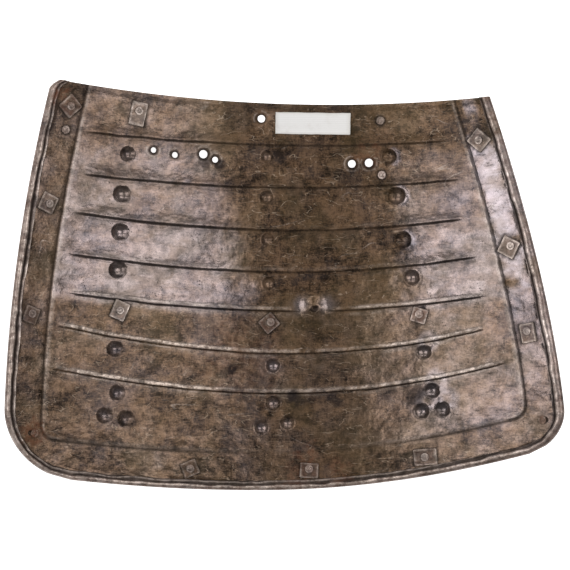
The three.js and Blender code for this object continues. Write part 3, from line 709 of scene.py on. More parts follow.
def make_plate_mesh(sizes):
    """The plate as one closed mesh: both faces, the turned edge that joins them, and the holes."""
    foot = HEM_FOOT * sizes.hem_width
    inner = mesh_shares(sizes, foot)
    x, y = flat_point(*inner)
    openings = find_openings()
    wanted = cells_to_cut(x, y, *inner, openings)
    pierced = pierced_cells(wanted, x, y, openings)
    faces = lattice(wanted, lambda i, j: (i, j) in pierced)
    ids = {}
    for face in faces:
        for point in face:
            ids.setdefault(point, len(ids))
    points = np.array(list(ids), float)
    rims = {}
    for (i, j), number in pierced.items():
        for corner in ((i, j), (i + 1, j), (i, j + 1), (i + 1, j + 1)):
            if corner in ids:
                rims[corner] = number
    count = len(ids)
    places = []
    for grids in (inner, mesh_shares(sizes, 0.2 * sizes.hem_width)):
        u, v = (at_lattice(grid, points) for grid in grids)
        x, y = flat_point(u, v)
        for corner, number in rims.items():
            k = ids[corner]
            dx, dy = flat_offset(openings[number], x[k], y[k])
            growth = openings[number][2] / max(math.hypot(dx, dy), 1e-6) - 1
            x[k], y[k] = x[k] + dx * growth, y[k] + dy * growth
        places.append((x, y, u, v))
    at_inner, at_outer = places
    co = [over_sheet(*at_inner[:2], relief(sizes, *at_inner)),
          over_sheet(*at_outer[:2], outer_relief(sizes, *at_outer) - sizes.wall)]
    masks = surface_masks(*at_inner)
    outside = {name: np.full(count, 0.5 if name == "brown" else 0.0) for name in masks}
    lines = (line_place(line, *at_outer[2:]) for line in LAME_LINES)
    outside["dirt"] = 0.7 * sum(left * bump(below, 1.2 * MM) for below, left in lines)
    polys = [[ids[p] for p in face] for face in faces]
    polys += [[ids[p] + count for p in reversed(face)] for face in faces]
    polys += rim_walls(faces, rims, ids, count)
    last_row, last_column = (n * FINER for n in wanted.shape)
    for j in range(0, last_column, FINER):
        a, b = ids[(0, j)], ids[(0, j + FINER)]
        polys.append([b, a, a + count, b + count])
    outline = [(i, 0) for i in range(0, last_row, FINER)]
    outline += [(last_row, j) for j in range(0, last_column, FINER)]
    outline += [(i, last_column) for i in range(last_row, -1, -FINER)]
    sets = turned_edge(sizes, *(np.array(outline).T // FINER), inner, foot)
    base = np.array([ids[p] for p in outline])
    hem = [2 * count + n * len(outline) + np.arange(len(outline)) for n in range(len(sets))]
    section = [base + count, *hem, base]
    for k in range(len(outline) - 1):
        for low, high in zip(section, section[1:]):
            polys.append([low[k], low[k + 1], high[k + 1], high[k]])
    polys.append([s[0] for s in section])
    polys.append([s[-1] for s in reversed(section)])
    every = [masks, outside, *(hem_masks for _, hem_masks in sets)]
    attributes = {name: np.concatenate([part[name] for part in every]) for name in masks}
    attributes["rim"] = np.ones(len(attributes["dirt"]))
    flipped = [[int(k) for k in reversed(poly)] for poly in polys]
    return np.concatenate(co + [hem_points for hem_points, _ in sets]), flipped, attributes


def outer_relief(sizes, x, y, u, v):
    """The outer face follows the inner one: its bosses are wider by the wall."""
    shift = relief(sizes, x, y, u, v)
    for across, down, size in BOSSES:
        radius = size * BOSS_RADIUS
        reach = spot_distance((across, down), x, y)
        inside = unit(1 - (reach / radius) ** 2) ** BOSS_ROUNDNESS
        domed = unit(1 - (reach / (radius + 1.2 * MM)) ** 2) ** BOSS_ROUNDNESS
        shift = shift - sizes.boss_depth * size * (domed - inside)
    return shift


def rim_walls(faces, rims, ids, count):
    """Walls of the holes, between the rims on the two faces."""
    used = {}
    for face in faces:
        for a, b in zip(face, face[1:] + face[:1]):
            if a in rims and b in rims:
                used[a, b] = True
    return [[ids[b], ids[a], ids[a] + count, ids[b] + count] for a, b in used if (b, a) not in used]


def normal_at(place):
    """The sheet's normal at a place of the sheet frame, in the part's frame."""
    return SHEET.to_3x3() @ Vector(bend(np.array([place.x]), np.array([place.y]))[1][0])


def rivet_axis(name):
    """The tips of a CAD rivet's head and of its hammered end, and its direction, in the part's frame."""
    normal = normal_at(sheet_place("rivet_" + name))
    co = sorted((v.co for v in frame["nodes"]["rivet_" + name].data.vertices), key=normal.dot)
    return co[0].copy(), co[-1].copy(), normal


# Objects


def add_object(name, data):
    item = bpy.data.objects.new(name, data)
    bpy.context.scene.collection.objects.link(item)
    return item


def smooth(mesh, crease):
    """Smooth shading with sharp edges past an angle in degrees."""
    mesh.shade_smooth()
    mesh.set_sharp_from_angle(angle=math.radians(crease))


def new_mesh_object(name, points, faces, attributes):
    """A mesh object at the origin with a number on each point for every attribute."""
    mesh = bpy.data.meshes.new(name)
    mesh.from_pydata([tuple(p) for p in points], [], faces)
    mesh.validate()
    mesh.update()
    for key, values in attributes.items():
        mesh.attributes.new(key, "FLOAT", "POINT").data.foreach_set("value", np.asarray(values, np.float32))
    smooth(mesh, crease=40)
    return add_object(name, mesh)


def in_part_frame(points):
    turn = np.array(SHEET.to_3x3())
    return np.asarray(points) @ turn.T + np.array(SHEET.translation)


def finish_piece(piece, material, nodes):
    """Gives a piece its material and its body, and hides the CAD nodes that it stands for."""
    piece.data.materials.clear()
    piece.data.materials.append(material)
    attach(piece, BODY)
    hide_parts(*nodes)


# Shader groups and materials


class Shading:
    """Adds nodes to a tree. Every method gives back output sockets."""

    def __init__(self, tree):
        self.tree = tree

    def node(self, kind, inputs=None, **settings):
        """A node with its settings and inputs; an input is a value or another node's output socket."""
        node = self.tree.nodes.new(kind)
        for key, value in settings.items():
            setattr(node, key, value)
        for key, value in (inputs or {}).items():
            if isinstance(value, bpy.types.NodeSocket):
                self.tree.links.new(value, node.inputs[key])
            else:
                node.inputs[key].default_value = value
        return node.outputs

    def math(self, operation, a, b=0.0, c=0.0, clamp=False):
        return self.node("ShaderNodeMath", {0: a, 1: b, 2: c}, operation=operation, use_clamp=clamp)[0]

    def times(self, a, b, clamp=False):
        return self.math("MULTIPLY", a, b, clamp=clamp)

    def plus(self, a, b):
        return self.math("ADD", a, b)

    def less(self, a, b):
        return self.math("SUBTRACT", a, b)

    def most(self, a, b, clamp=False):
        return self.math("MAXIMUM", a, b, clamp=clamp)

    def fitted(self, value, gain, offset, clamp=False):
        """The value times the gain plus the offset."""
        return self.math("MULTIPLY_ADD", value, gain, offset, clamp)

    def mixed(self, share, a, b):
        return self.node("ShaderNodeMix", {0: share, 6: a, 7: b}, data_type="RGBA")[2]

    def noise(self, vector, scale, detail=4.0, roughness=0.55, distortion=0.0):
        inputs = dict(Vector=vector, Scale=scale, Detail=detail, Roughness=roughness, Distortion=distortion)
        return self.node("ShaderNodeTexNoise", inputs)["Fac"]

    def ramp(self, value, low, high):
        """Maps a value from low..high to 0..1, smoothly."""
        inputs = {0: value, 1: low, 2: high}
        return self.node("ShaderNodeMapRange", inputs, interpolation_type="SMOOTHSTEP")[0]

    def stretched(self, vector, x, y):
        return self.node("ShaderNodeMapping", {"Vector": vector, "Scale": (x, y, 1.0)})[0]

    def attribute(self, name):
        return self.node("ShaderNodeAttribute", attribute_name=name)["Fac"]

    def bw(self, colour):
        return self.node("ShaderNodeRGBToBW", {"Color": colour})[0]

    def group(self, name, vector, **numbers):
        """The output of a shared shader group, which is made when it is first used."""
        inputs = {socket_name(key): value for key, value in numbers.items()}
        tree = bpy.data.node_groups.get(name) or GROUPS[name](name)
        return self.node("ShaderNodeGroup", {"Vector": vector, **inputs}, node_tree=tree)[0]


def socket_name(key):
    return key.replace("_", " ").capitalize()


def new_group(name, output, **numbers):
    """A shader group from a vector and some numbers to one value: its shading and its input sockets."""
    tree = bpy.data.node_groups.new(name, "ShaderNodeTree")
    tree.interface.new_socket("Vector", in_out="INPUT", socket_type="NodeSocketVector")
    for key, default in numbers.items():
        socket = tree.interface.new_socket(socket_name(key), in_out="INPUT", socket_type="NodeSocketFloat")
        socket.default_value = default
    tree.interface.new_socket(output, in_out="OUTPUT", socket_type="NodeSocketFloat")
    s = Shading(tree)
    return s, s.node("NodeGroupInput")[:-1]


def end_group(s, value):
    s.node("NodeGroupOutput", {0: value})
    return s.tree


def make_mottle_group(name):
    """Clouds of dark and light patina at five sizes, down to fine speckle."""
    s, (vector, scale, level, cloud_gain, grain_gain) = new_group(
        name, "Wear", cloud_scale=40.0, level=0.5, cloud_contrast=1.0, grain_contrast=1.0)
    broad = s.noise(s.stretched(vector, 1.0, 1.7), scale, 3.0, 0.6, 0.6)
    patchy = s.noise(vector, s.times(scale, 4.5), 4.0, 0.65)
    brushed = s.noise(s.stretched(vector, 1.0, 4.0), s.times(scale, 7.0), 4.0, 0.7)
    wiped = s.noise(s.stretched(vector, 3.5, 1.0), s.times(scale, 6.0), 4.0, 0.7)
    fine = s.noise(vector, s.times(scale, 26.0), 3.0, 0.7)
    centred = lambda value, gain: s.fitted(value, gain, -0.5 * gain)
    clouds = s.plus(centred(broad, 1.3), centred(patchy, 1.5))
    grain = s.plus(s.plus(centred(brushed, 1.2), centred(wiped, 0.9)), centred(fine, 1.3))
    return end_group(s, s.fitted(grain, grain_gain, s.fitted(clouds, cloud_gain, level), clamp=True))


def make_pit_group(name):
    """Small pits: a mask of their dark floors, gathered in patches."""
    s, (vector, scale, amount) = new_group(name, "Mask", scale=600.0, amount=0.5)
    cells = s.node("ShaderNodeTexVoronoi", {"Vector": vector, "Scale": scale, "Randomness": 1.0})
    ragged = s.noise(vector, s.times(scale, 1.7), 2.0)
    pits = s.ramp(s.plus(cells["Distance"], s.times(ragged, 0.25)), 0.42, 0.22)
    patch = s.noise(vector, s.times(scale, 0.11), 3.0)
    edge = s.less(0.78, s.times(amount, 0.4))
    return end_group(s, s.times(pits, s.ramp(patch, edge, s.plus(edge, 0.12))))


def make_scratch_group(name):
    """Thin wandering scratches and hairlines."""
    s, (vector, scale, width, amount) = new_group(name, "Mask", scale=60.0, width=0.012, amount=0.5)
    masks = []
    for turn, shift in ((0.4, 0.0), (1.7, 5.3), (-0.7, 7.7)):
        turned = s.node("ShaderNodeMapping", dict(
            Vector=vector, Location=(shift, shift, 0.0), Rotation=(0.0, 0.0, turn), Scale=(0.3, 1.0, 1.0)))[0]
        off = s.math("ABSOLUTE", s.less(s.noise(turned, scale, 1.5, 0.4, 0.1), 0.5))
        thin = s.ramp(s.math("DIVIDE", off, width), 1.0, 0.2)
        gaps = s.noise(turned, s.times(scale, 1.3), 2.0)
        edge = s.less(0.72, s.times(amount, 0.3))
        masks.append(s.times(thin, s.ramp(gaps, edge, s.plus(edge, 0.1))))
    return end_group(s, s.most(s.most(masks[0], masks[1]), masks[2]))


GROUPS = {"Mottled patina": make_mottle_group, "Pits": make_pit_group, "Scratches": make_scratch_group}


def new_material(name):
    """A material with an empty tree, its shading, and the object's own coordinates."""
    material = bpy.data.materials.new(name)
    material.use_nodes = True
    material.node_tree.nodes.clear()
    s = Shading(material.node_tree)
    return material, s, s.node("ShaderNodeTexCoord")["Object"]


def end_material(s, height, strength, distance, **inputs):
    """Ends a material in its shader, with the relief of a height. Underscores stand for spaces."""
    relief = s.node("ShaderNodeBump", {"Height": height, "Strength": strength, "Distance": distance})[0]
    named = {key.replace("_", " "): value for key, value in inputs.items()}
    shader = s.node("ShaderNodeBsdfPrincipled", {"Normal": relief, **named})[0]
    s.node("ShaderNodeOutputMaterial", {0: shader})


# SHEEN sets how bright the polished steel is, and so how bright its painted sheen is.
SHEEN = 0.212  # how bright the polished steel is
SHINE_METAL = 1.3  # how metallic the sheen is, against its share of the colour
BARE_METAL = 0.4  # how metallic the bare steel is at least


def steel_material(name, look, level=0.5, film=0.0):
    """Old waxed steel under brown patina, dull where it is thick, with a painted sheen where the lamps are
    seen reflected, worn edges and painted glints, grime and painted shade, rust and pits.
    """
    material, s, where = new_material(name)
    tone = lambda key: (*getattr(look, key + "_colour"), 1)
    rim, dirt, worn, rust, scab, patina_and_sheen_share = map(s.attribute, ("rim", "dirt", "worn", "rust", "scab", "brown"))
    brown = s.fitted(s.fitted(worn, -0.6, 1.0), film, patina_and_sheen_share)
    wear = s.group("Mottled patina", where, cloud_scale=38.0, level=level,
                   cloud_contrast=s.fitted(patina_and_sheen_share, 0.6, 0.95), grain_contrast=s.fitted(patina_and_sheen_share, 0.8, 0.65))
    pits = s.group("Pits", where, scale=620.0, amount=0.55)
    scratches = s.group("Scratches", where, scale=55.0, width=0.008, amount=0.40)
    veins = s.group("Scratches", where, scale=190.0, width=0.010, amount=0.65)

    hue = s.noise(where, 26.0, 3.0)
    # Bare steel colour from worn edges and scratches, and from the painted glints on the lame crests and the
    # turned edge.
    bare = s.most(s.times(worn, rim, clamp=True), s.times(scratches, 0.28))
    bare = s.times(bare, s.fitted(wear, 0.9, 0.45), clamp=True)
    chipped = s.ramp(s.noise(where, 230.0, 4.0, 0.7), 0.38, 0.56)
    bare = s.times(bare, s.fitted(chipped, 0.85, 0.35), clamp=True)
    rusty = s.times(rust, s.ramp(s.noise(where, 260.0, 5.0, 0.7), 0.35, 0.6))
    crust = s.times(scab, s.ramp(s.noise(where, 420.0, 5.0, 0.7), 0.34, 0.46))
    colour = s.mixed(wear, tone("patina"), tone("brown"))
    for mask, finish in (
        (s.times(s.ramp(hue, 0.42, 0.66), 0.4), "olive"),
        (s.times(s.ramp(hue, 0.47, 0.30), 0.36), "slate"),
        (s.times(veins, s.fitted(brown, 0.8, -0.05)), "vein"),
        (bare, "steel"),
        (s.times(dirt, 0.85), "dirt"),
        (s.times(pits, 0.8), "dirt"),
        (s.times(rusty, 0.75), "rust"),
        (s.times(crust, 0.9), "scab"),
    ):
        colour = s.mixed(mask, colour, tone(finish))

    rough = s.fitted(wear, -0.08, 0.29)
    for mask, change in ((bare, -0.06), (dirt, 0.15), (rusty, 0.25), (crust, 0.2), (pits, 0.15)):
        rough = s.plus(rough, s.times(mask, change))
    gleam = s.ramp(s.noise(s.stretched(where, 1.0, 1.6), 70.0, 3.0, 0.6, 0.8), 0.36, 0.64)
    # How polished the steel looks follows the patina mask with its painted sheen.
    polish_and_painted_sheen = s.fitted(brown, -0.46, 0.52)
    for mask, gain, offset in ((gleam, 0.4, 0.80), (wear, 0.9, 0.54), (rusty, -0.7, 1.0), (crust, -0.8, 1.0),
                               (dirt, -0.75, 1.0), (pits, -0.5, 1.0)):
        polish_and_painted_sheen = s.times(polish_and_painted_sheen, s.fitted(mask, gain, offset))

    dents = s.less(s.noise(where, 85.0, 2.0, 0.5), 0.5)
    peened = s.less(s.noise(s.stretched(where, 0.7, 1.4), 180.0, 1.5, 0.5), 0.5)
    height = s.times(s.noise(where, 520.0, 2.0, 0.5), 0.24)
    height = s.fitted(dents, s.fitted(s.ramp(patina_and_sheen_share, 0.4, -0.3), 1.3, 1.2), height)
    height = s.fitted(peened, s.fitted(s.ramp(patina_and_sheen_share, 0.1, 0.7), -0.3, 0.7), height)
    for mask, change in ((pits, -0.12), (scratches, -0.05), (crust, 0.10), (rusty, 0.06)):
        height = s.plus(height, s.times(mask, change))
    # That shine lightens the base colour and sets the metallic share: the painted sheen shows as bright
    # reflective steel.
    tint = s.mixed(s.ramp(brown, 0.25, 1.05), tone("shine"), tone("waxed"))
    shine = s.node("ShaderNodeVectorMath", {0: tint, "Scale": s.times(polish_and_painted_sheen, SHEEN)}, operation="SCALE")[0]
    whole = s.node("ShaderNodeVectorMath", {0: colour, 1: shine}, operation="ADD")[0]
    metal = s.times(s.math("DIVIDE", s.bw(shine), s.bw(whole)), SHINE_METAL)
    metal = s.most(metal, s.times(bare, BARE_METAL), clamp=True)
    end_material(s, height, 1.0, 0.45 * MM, Base_Color=whole, Metallic=metal, Roughness=rough, IOR=1.5,
                 Specular_IOR_Level=0.1)
    return material


LAID_LINES = (0.55, 0.53, 0.50, 1)  # their colour on the paper


def paper_material(look):
    """Old label paper: off-white, with faint laid lines, fibres and a little soiling."""
    material, s, where = new_material("Label paper")
    paper, soiled = (*look.paper_colour, 1), (*look.paper_soil, 1)
    fibres = s.noise(s.stretched(where, 1.0, 3.0), 900.0, 4.0, 0.7)
    laid = s.node("ShaderNodeTexWave", {"Vector": where, "Scale": 230.0, "Distortion": 1.5, "Detail": 2.0},
                  bands_direction="Y")["Fac"]
    soil = s.ramp(s.noise(where, 120.0, 4.0, 0.6), 0.5, 0.85)
    colour = s.mixed(s.times(laid, 0.12), paper, LAID_LINES)
    colour = s.mixed(s.times(soil, 0.35), colour, soiled)
    colour = s.mixed(s.times(s.attribute("edge"), 0.45), colour, soiled)
    height = s.plus(fibres, s.times(laid, 0.4))
    end_material(s, height, 0.6, 0.08 * MM, Base_Color=colour, Roughness=0.85, Specular_IOR_Level=0.3)
    return material


# Settings


def colour_setting(name, about, default):
    return bpy.props.FloatVectorProperty(name=name, description=about, default=default, subtype="COLOR",
                                         size=3, min=0.0, max=1.0)


def number_setting(name, about, default, least=0.0, unit="NONE"):
    return bpy.props.FloatProperty(name=name, description=about, default=default, min=least, unit=unit)


def length_setting(name, about, default):
    return number_setting(name, about, default, unit="LENGTH")


class TassetPlate(bpy.types.PropertyGroup):
    """Sizes of the plate."""

    wall: length_setting("Wall", "Thickness of the plate", 1.4 * MM)
    hem_width: length_setting("Turned edge width", "Width of the turned edge", 6.0 * MM)
    hem_height: length_setting("Turned edge height", "Height of the turned edge over the face", 3.0 * MM)
    line_rise: length_setting("Line rise", "Height of the strongest lame lines", 1.0 * MM)
    border_depth: length_setting("Border depth", "Depth of the border groove", 0.3 * MM)
    boss_depth: length_setting("Boss depth", "Depth of the mock rivets", 2.4 * MM)
    dent_height: length_setting("Dent height", "How far the dent stands into the hollow", 3.4 * MM)
    hammer_height: length_setting("Hammering", "Height of the hammered unevenness", 0.22 * MM)
    mesh_spacing: length_setting("Mesh spacing", "Distance between points of the plate's mesh", 2.3 * MM)


class TassetFittings(bpy.types.PropertyGroup):
    """Sizes of the rivets, washers and label."""

    head_radius: length_setting("Head radius", "Radius of the rivet heads outside", 4.2 * MM)
    head_height: length_setting("Head height", "Height of the rivet heads", 2.2 * MM)
    end_radius: length_setting("End radius", "Radius of the hammered rivet ends inside", 2.7 * MM)
    end_height: length_setting("End height", "Height of the hammered ends", 1.0 * MM)
    washer_thickness: length_setting("Washer thickness", "Thickness of the washers", 1.0 * MM)
    unevenness: length_setting("Unevenness", "How far the fittings are from true", 0.35 * MM)
    label_width: length_setting("Label width", "Width of the paper label", 48.0 * MM)
    label_height: length_setting("Label height", "Height of the paper label", 13.8 * MM)


class TassetLook(bpy.types.PropertyGroup):
    """Colours of the finishes."""

    patina_colour: colour_setting("Patina", "Brown patina", (0.010, 0.005, 0.002))
    brown_colour: colour_setting("Light patina", "Thin, lighter patina", (0.152, 0.087, 0.046))
    # Steel is also the colour of the painted glints on the crests and the turned edge.
    steel_colour: colour_setting("Steel", "Bare steel at worn edges", (0.49, 0.40, 0.34))
    vein_colour: colour_setting("Veins", "Fine pale veins in the patina", (0.330, 0.245, 0.175))
    olive_colour: colour_setting("Olive", "Greenish-brown wax in patches", (0.086, 0.057, 0.023))
    slate_colour: colour_setting("Slate", "Bluish grey patina in patches", (0.062, 0.047, 0.048))
    # The dark colour of grime, pits and painted shade in grooves and round the fittings.
    dirt_colour: colour_setting("Dirt", "Dirt in grooves and pits", (0.018, 0.012, 0.008))
    shine_colour: colour_setting("Shine", "Tint of the reflections", (0.85, 0.84, 1.0))
    waxed_colour: colour_setting("Waxed shine", "Tint of reflections in the brown film", (0.86, 0.71, 0.66))
    rust_colour: colour_setting("Rust", "Red-brown rust", (0.130, 0.045, 0.020))
    scab_colour: colour_setting("Scabs", "Blackened scabs", (0.012, 0.008, 0.008))
    paper_colour: colour_setting("Paper", "Label paper", (0.83, 0.815, 0.80))
    paper_soil: colour_setting("Paper soil", "Soiled paper", (0.52, 0.47, 0.40))


class TassetStage(bpy.types.PropertyGroup):
    """Camera, floor and lights."""

    camera_distance: length_setting("Camera distance", "From the plate's middle to the camera", 1.7)
    lens: number_setting("Lens", "Focal length on a 36 mm sensor", 167.5, 20.0)
    floor_glow: number_setting("Floor glow", "Light that the pale floor gives off", 0.95)
    light_strength: number_setting("Light strength", "Multiplies all the lamps", 1.0)
    air_light: number_setting("Air light", "Even light from all round", 0.12)


# Operators


class TASSET_OT_plate(bpy.types.Operator):
    """Makes the hammered plate with its turned edge, lame lines, mock rivets, holes and dent."""

    bl_idname = "tasset.plate"
    bl_label = "Make plate"

    def execute(self, context):
        sizes = context.scene.tasset_plate
        points, faces, masks = make_plate_mesh(sizes)
        piece = new_mesh_object("steel_plate", in_part_frame(points), faces, masks)
        steel = steel_material("Plate steel", context.scene.tasset_look)
        finish_piece(piece, steel, ["plate"])
        return {"FINISHED"}


def lathe(profile, sides):
    """Points and faces of a turned solid about z; the profile starts and ends on the axis."""
    points = [(0, 0, profile[0][1])]
    angles = [2 * math.pi * k / sides for k in range(sides)]
    for radius, height in profile[1:-1]:
        points += [(radius * math.cos(angle), radius * math.sin(angle), height) for angle in angles]
    points.append((0, 0, profile[-1][1]))
    last = len(profile) - 3
    ring = lambda n, k: 1 + n * sides + k % sides
    faces = [(0, ring(0, k + 1), ring(0, k)) for k in range(sides)]
    for n in range(last):
        faces += [(ring(n, k), ring(n, k + 1), ring(n + 1, k + 1), ring(n + 1, k)) for k in range(sides)]
    faces += [(len(points) - 1, ring(last, k), ring(last, k + 1)) for k in range(sides)]
    return points, faces


VECTORS = ("stand", "along", "size")  # attributes of a fitting's place


def make_fitting_tree():
    """Stands a pattern on each point, turned and sized by the point's attributes, and beats it uneven."""
    tree = bpy.data.node_groups.new("Fittings on the plate", "GeometryNodeTree")
    for socket, kind in (("Places", "Geometry"), ("Pattern", "Object"), ("Unevenness", "Float"),
                         ("Grain", "Float"), ("Seed", "Float"), ("Finish", "Material")):
        tree.interface.new_socket(socket, in_out="INPUT", socket_type="NodeSocket" + kind)
    tree.interface.new_socket("Geometry", in_out="OUTPUT", socket_type="NodeSocketGeometry")
    s = Shading(tree)
    given = s.node("NodeGroupInput")
    pattern = s.node("GeometryNodeObjectInfo", {"Object": given["Pattern"]})["Geometry"]
    read = lambda name: s.node("GeometryNodeInputNamedAttribute", {"Name": name}, data_type="FLOAT_VECTOR")[0]
    stand, along, size = map(read, VECTORS)
    turn = s.node("FunctionNodeAxesToRotation", {"Primary Axis": stand, "Secondary Axis": along},
                  primary_axis="Z", secondary_axis="X")[0]
    placed = s.node("GeometryNodeInstanceOnPoints", {
        "Points": given["Places"], "Instance": pattern, "Rotation": turn, "Scale": size})[0]
    real = s.node("GeometryNodeRealizeInstances", {"Geometry": placed})[0]
    rough = s.node("ShaderNodeTexNoise", {
        "Vector": s.node("GeometryNodeInputPosition")[0], "W": given["Seed"], "Scale": given["Grain"],
        "Detail": 2.0}, noise_dimensions="4D")["Color"]
    centred = s.node("ShaderNodeVectorMath", {0: rough, 1: (0.5, 0.5, 0.5)}, operation="SUBTRACT")[0]
    pushed = s.node("ShaderNodeVectorMath", {0: centred, "Scale": given["Unevenness"]}, operation="SCALE")[0]
    moved = s.node("GeometryNodeSetPosition", {"Geometry": real, "Offset": pushed})[0]
    done = s.node("GeometryNodeSetMaterial", {"Geometry": moved, "Material": given["Finish"]})[0]
    return end_group(s, done)


def stand_fittings(name, pattern, places, settings):
    """Runs the fittings tree over the places and returns its result as a plain mesh object."""
    cloud = bpy.data.meshes.new(name + "_places")
    cloud.from_pydata([tuple(p["at"]) for p in places], [], [])
    for key in VECTORS:
        data = cloud.attributes.new(key, "FLOAT_VECTOR", "POINT").data
        data.foreach_set("vector", [c for p in places for c in p[key]])
    for key in ("worn", "rust"):
        cloud.attributes.new(key, "FLOAT", "POINT").data.foreach_set("value", [p[key] for p in places])
    source = add_object(name + "_source", cloud)
    modifier = source.modifiers.new("Fittings", "NODES")
    tree = modifier.node_group = bpy.data.node_groups.get("Fittings on the plate") or make_fitting_tree()
    sockets = {item.name: item.identifier for item in tree.interface.items_tree if item.in_out == "INPUT"}
    for key, value in {**settings, "Pattern": pattern}.items():
        modifier[sockets[key]] = value
    mesh = bpy.data.meshes.new_from_object(source.evaluated_get(bpy.context.evaluated_depsgraph_get()))
    mesh.name = name
    bpy.data.objects.remove(source)
    bpy.data.objects.remove(pattern)
    for key in VECTORS:
        if key in mesh.attributes:
            mesh.attributes.remove(mesh.attributes[key])
    smooth(mesh, crease=35)
    return add_object(name, mesh)


def sheet_axis(normal, turn):
    """The direction across the plate, turned about the normal by some degrees, in the part's frame."""
    across = SHEET.to_3x3() @ Vector((1, 0, 0))
    across = (across - normal * across.dot(normal)).normalized()
    return Matrix.Rotation(math.radians(turn), 3, normal) @ across


class TASSET_OT_rivets(bpy.types.Operator):
    """Makes the rivets: domed heads outside, hammered ends inside."""

    bl_idname = "tasset.rivets"
    bl_label = "Make rivets"

    def execute(self, context):
        sizes = context.scene.tasset_fittings
        places = []
        for number, (name, rivet) in enumerate(RIVETS.items()):
            low, high, normal = rivet_axis(name)
            size = (1, 1, (high - low).length / RIVET_LENGTH)
            places.append(dict(at=low, stand=normal, along=sheet_axis(normal, 67 * number), size=size,
                               worn=rivet["worn"], rust=rivet["rust"]))
        top = RIVET_LENGTH - sizes.end_height
        shank = 1.5 * MM
        head = [(0.35, 0.06), (0.66, 0.24), (0.88, 0.52), (1, 0.86), (0.98, 1)]
        end = [(0.9, 0), (1, 0.28), (0.93, 0.6), (0.72, 0.7), (0.58, 0.62), (0.42, 0.9)]
        profile = [(0, 0), *((r * sizes.head_radius, h * sizes.head_height) for r, h in head),
                   (shank, 1.02 * sizes.head_height), (shank, top),
                   *((r * sizes.end_radius, top + h * sizes.end_height) for r, h in end), (0, RIVET_LENGTH)]
        points, faces = lathe(profile, sides=20)
        pattern = new_mesh_object("rivet_pattern", points, faces, {"rim": [1.0] * len(points)})
        look = steel_material("Rivet iron", context.scene.tasset_look, level=0.4, film=0.7)
        piece = stand_fittings("rivets", pattern, places, {
            "Unevenness": 1.6 * sizes.unevenness, "Grain": 330.0, "Seed": 4.0, "Finish": look})
        finish_piece(piece, look, ["rivet_" + name for name in RIVETS])
        return {"FINISHED"}


def grid_faces(columns, rows):
    """Faces of a grid whose points are numbered column by column, and the numbers round its outline."""
    at = lambda i, j: i * (rows + 1) + j
    faces = [(at(i, j), at(i + 1, j), at(i + 1, j + 1), at(i, j + 1)) for i, j in np.ndindex(columns, rows)]
    outline = [at(i, 0) for i in range(columns)] + [at(columns, j) for j in range(rows)]
    outline += [at(i, rows) for i in range(columns, 0, -1)] + [at(0, j) for j in range(rows, 0, -1)]
    return faces, outline


def washer_pattern(cells=10, top=0.94):
    """A square of side 1 and thickness 1 with a smaller top and nipped corners, middle at its foot."""
    steps = np.linspace(-0.5, 0.5, cells + 1)
    steps = np.sign(steps) * 0.5 * (1 - (1 - np.abs(steps) * 2) ** 1.5)
    points = []
    for a in steps:
        for b in steps:
            nip = max(0.0, abs(a) + abs(b) - 0.95)
            points.append((top * (a - 0.5 * nip * np.sign(a)), top * (b - 0.5 * nip * np.sign(b)), 1.0))
    faces, outline = grid_faces(cells, cells)
    previous = outline
    for height, spread in ((0.8, 0.985), (0.35, 1.0), (0.0, 1.0)):
        ring = [len(points) + k for k in range(len(outline))]
        points += [(points[k][0] / top * spread, points[k][1] / top * spread, height) for k in outline]
        faces += [(previous[k - 1], ring[k - 1], ring[k], previous[k]) for k in range(len(ring))]
        previous = ring
    faces.append(tuple(reversed(previous)))
    rim = [0.08 + min(1.2, max(0.0, (max(abs(x), abs(y)) - 0.40) / 0.04)) for x, y, _ in points]
    return points, faces, {"rim": rim}


class TASSET_OT_washers(bpy.types.Operator):
    """Makes the hand-cut square washers under the rivets' hammered ends."""

    bl_idname = "tasset.washers"
    bl_label = "Make washers"

    def execute(self, context):
        sizes = context.scene.tasset_fittings
        look = steel_material("Washer iron", context.scene.tasset_look, level=0.30, film=1.0)
        sink = CLEARANCE + 0.15 * MM
        thick = sizes.washer_thickness + sink
        places = []
        for name, centre in washer_places().items():
            rivet = RIVETS[name]
            normal = normal_at(centre)
            at = SHEET @ centre - normal * (sizes.washer_thickness / 2 + sink)
            places.append(dict(at=at, stand=normal, along=sheet_axis(normal, rivet["turn"]),
                               size=(rivet["width"] * MM, rivet["length"] * MM, thick),
                               worn=rivet["worn"], rust=rivet["rust"]))
        pattern = new_mesh_object("washer_pattern", *washer_pattern())
        piece = stand_fittings("washers", pattern, places, {
            "Unevenness": 1.7 * sizes.unevenness, "Grain": 170.0, "Seed": 9.0, "Finish": look})
        finish_piece(piece, look, ["washer_" + name for name in washer_places()])
        return {"FINISHED"}


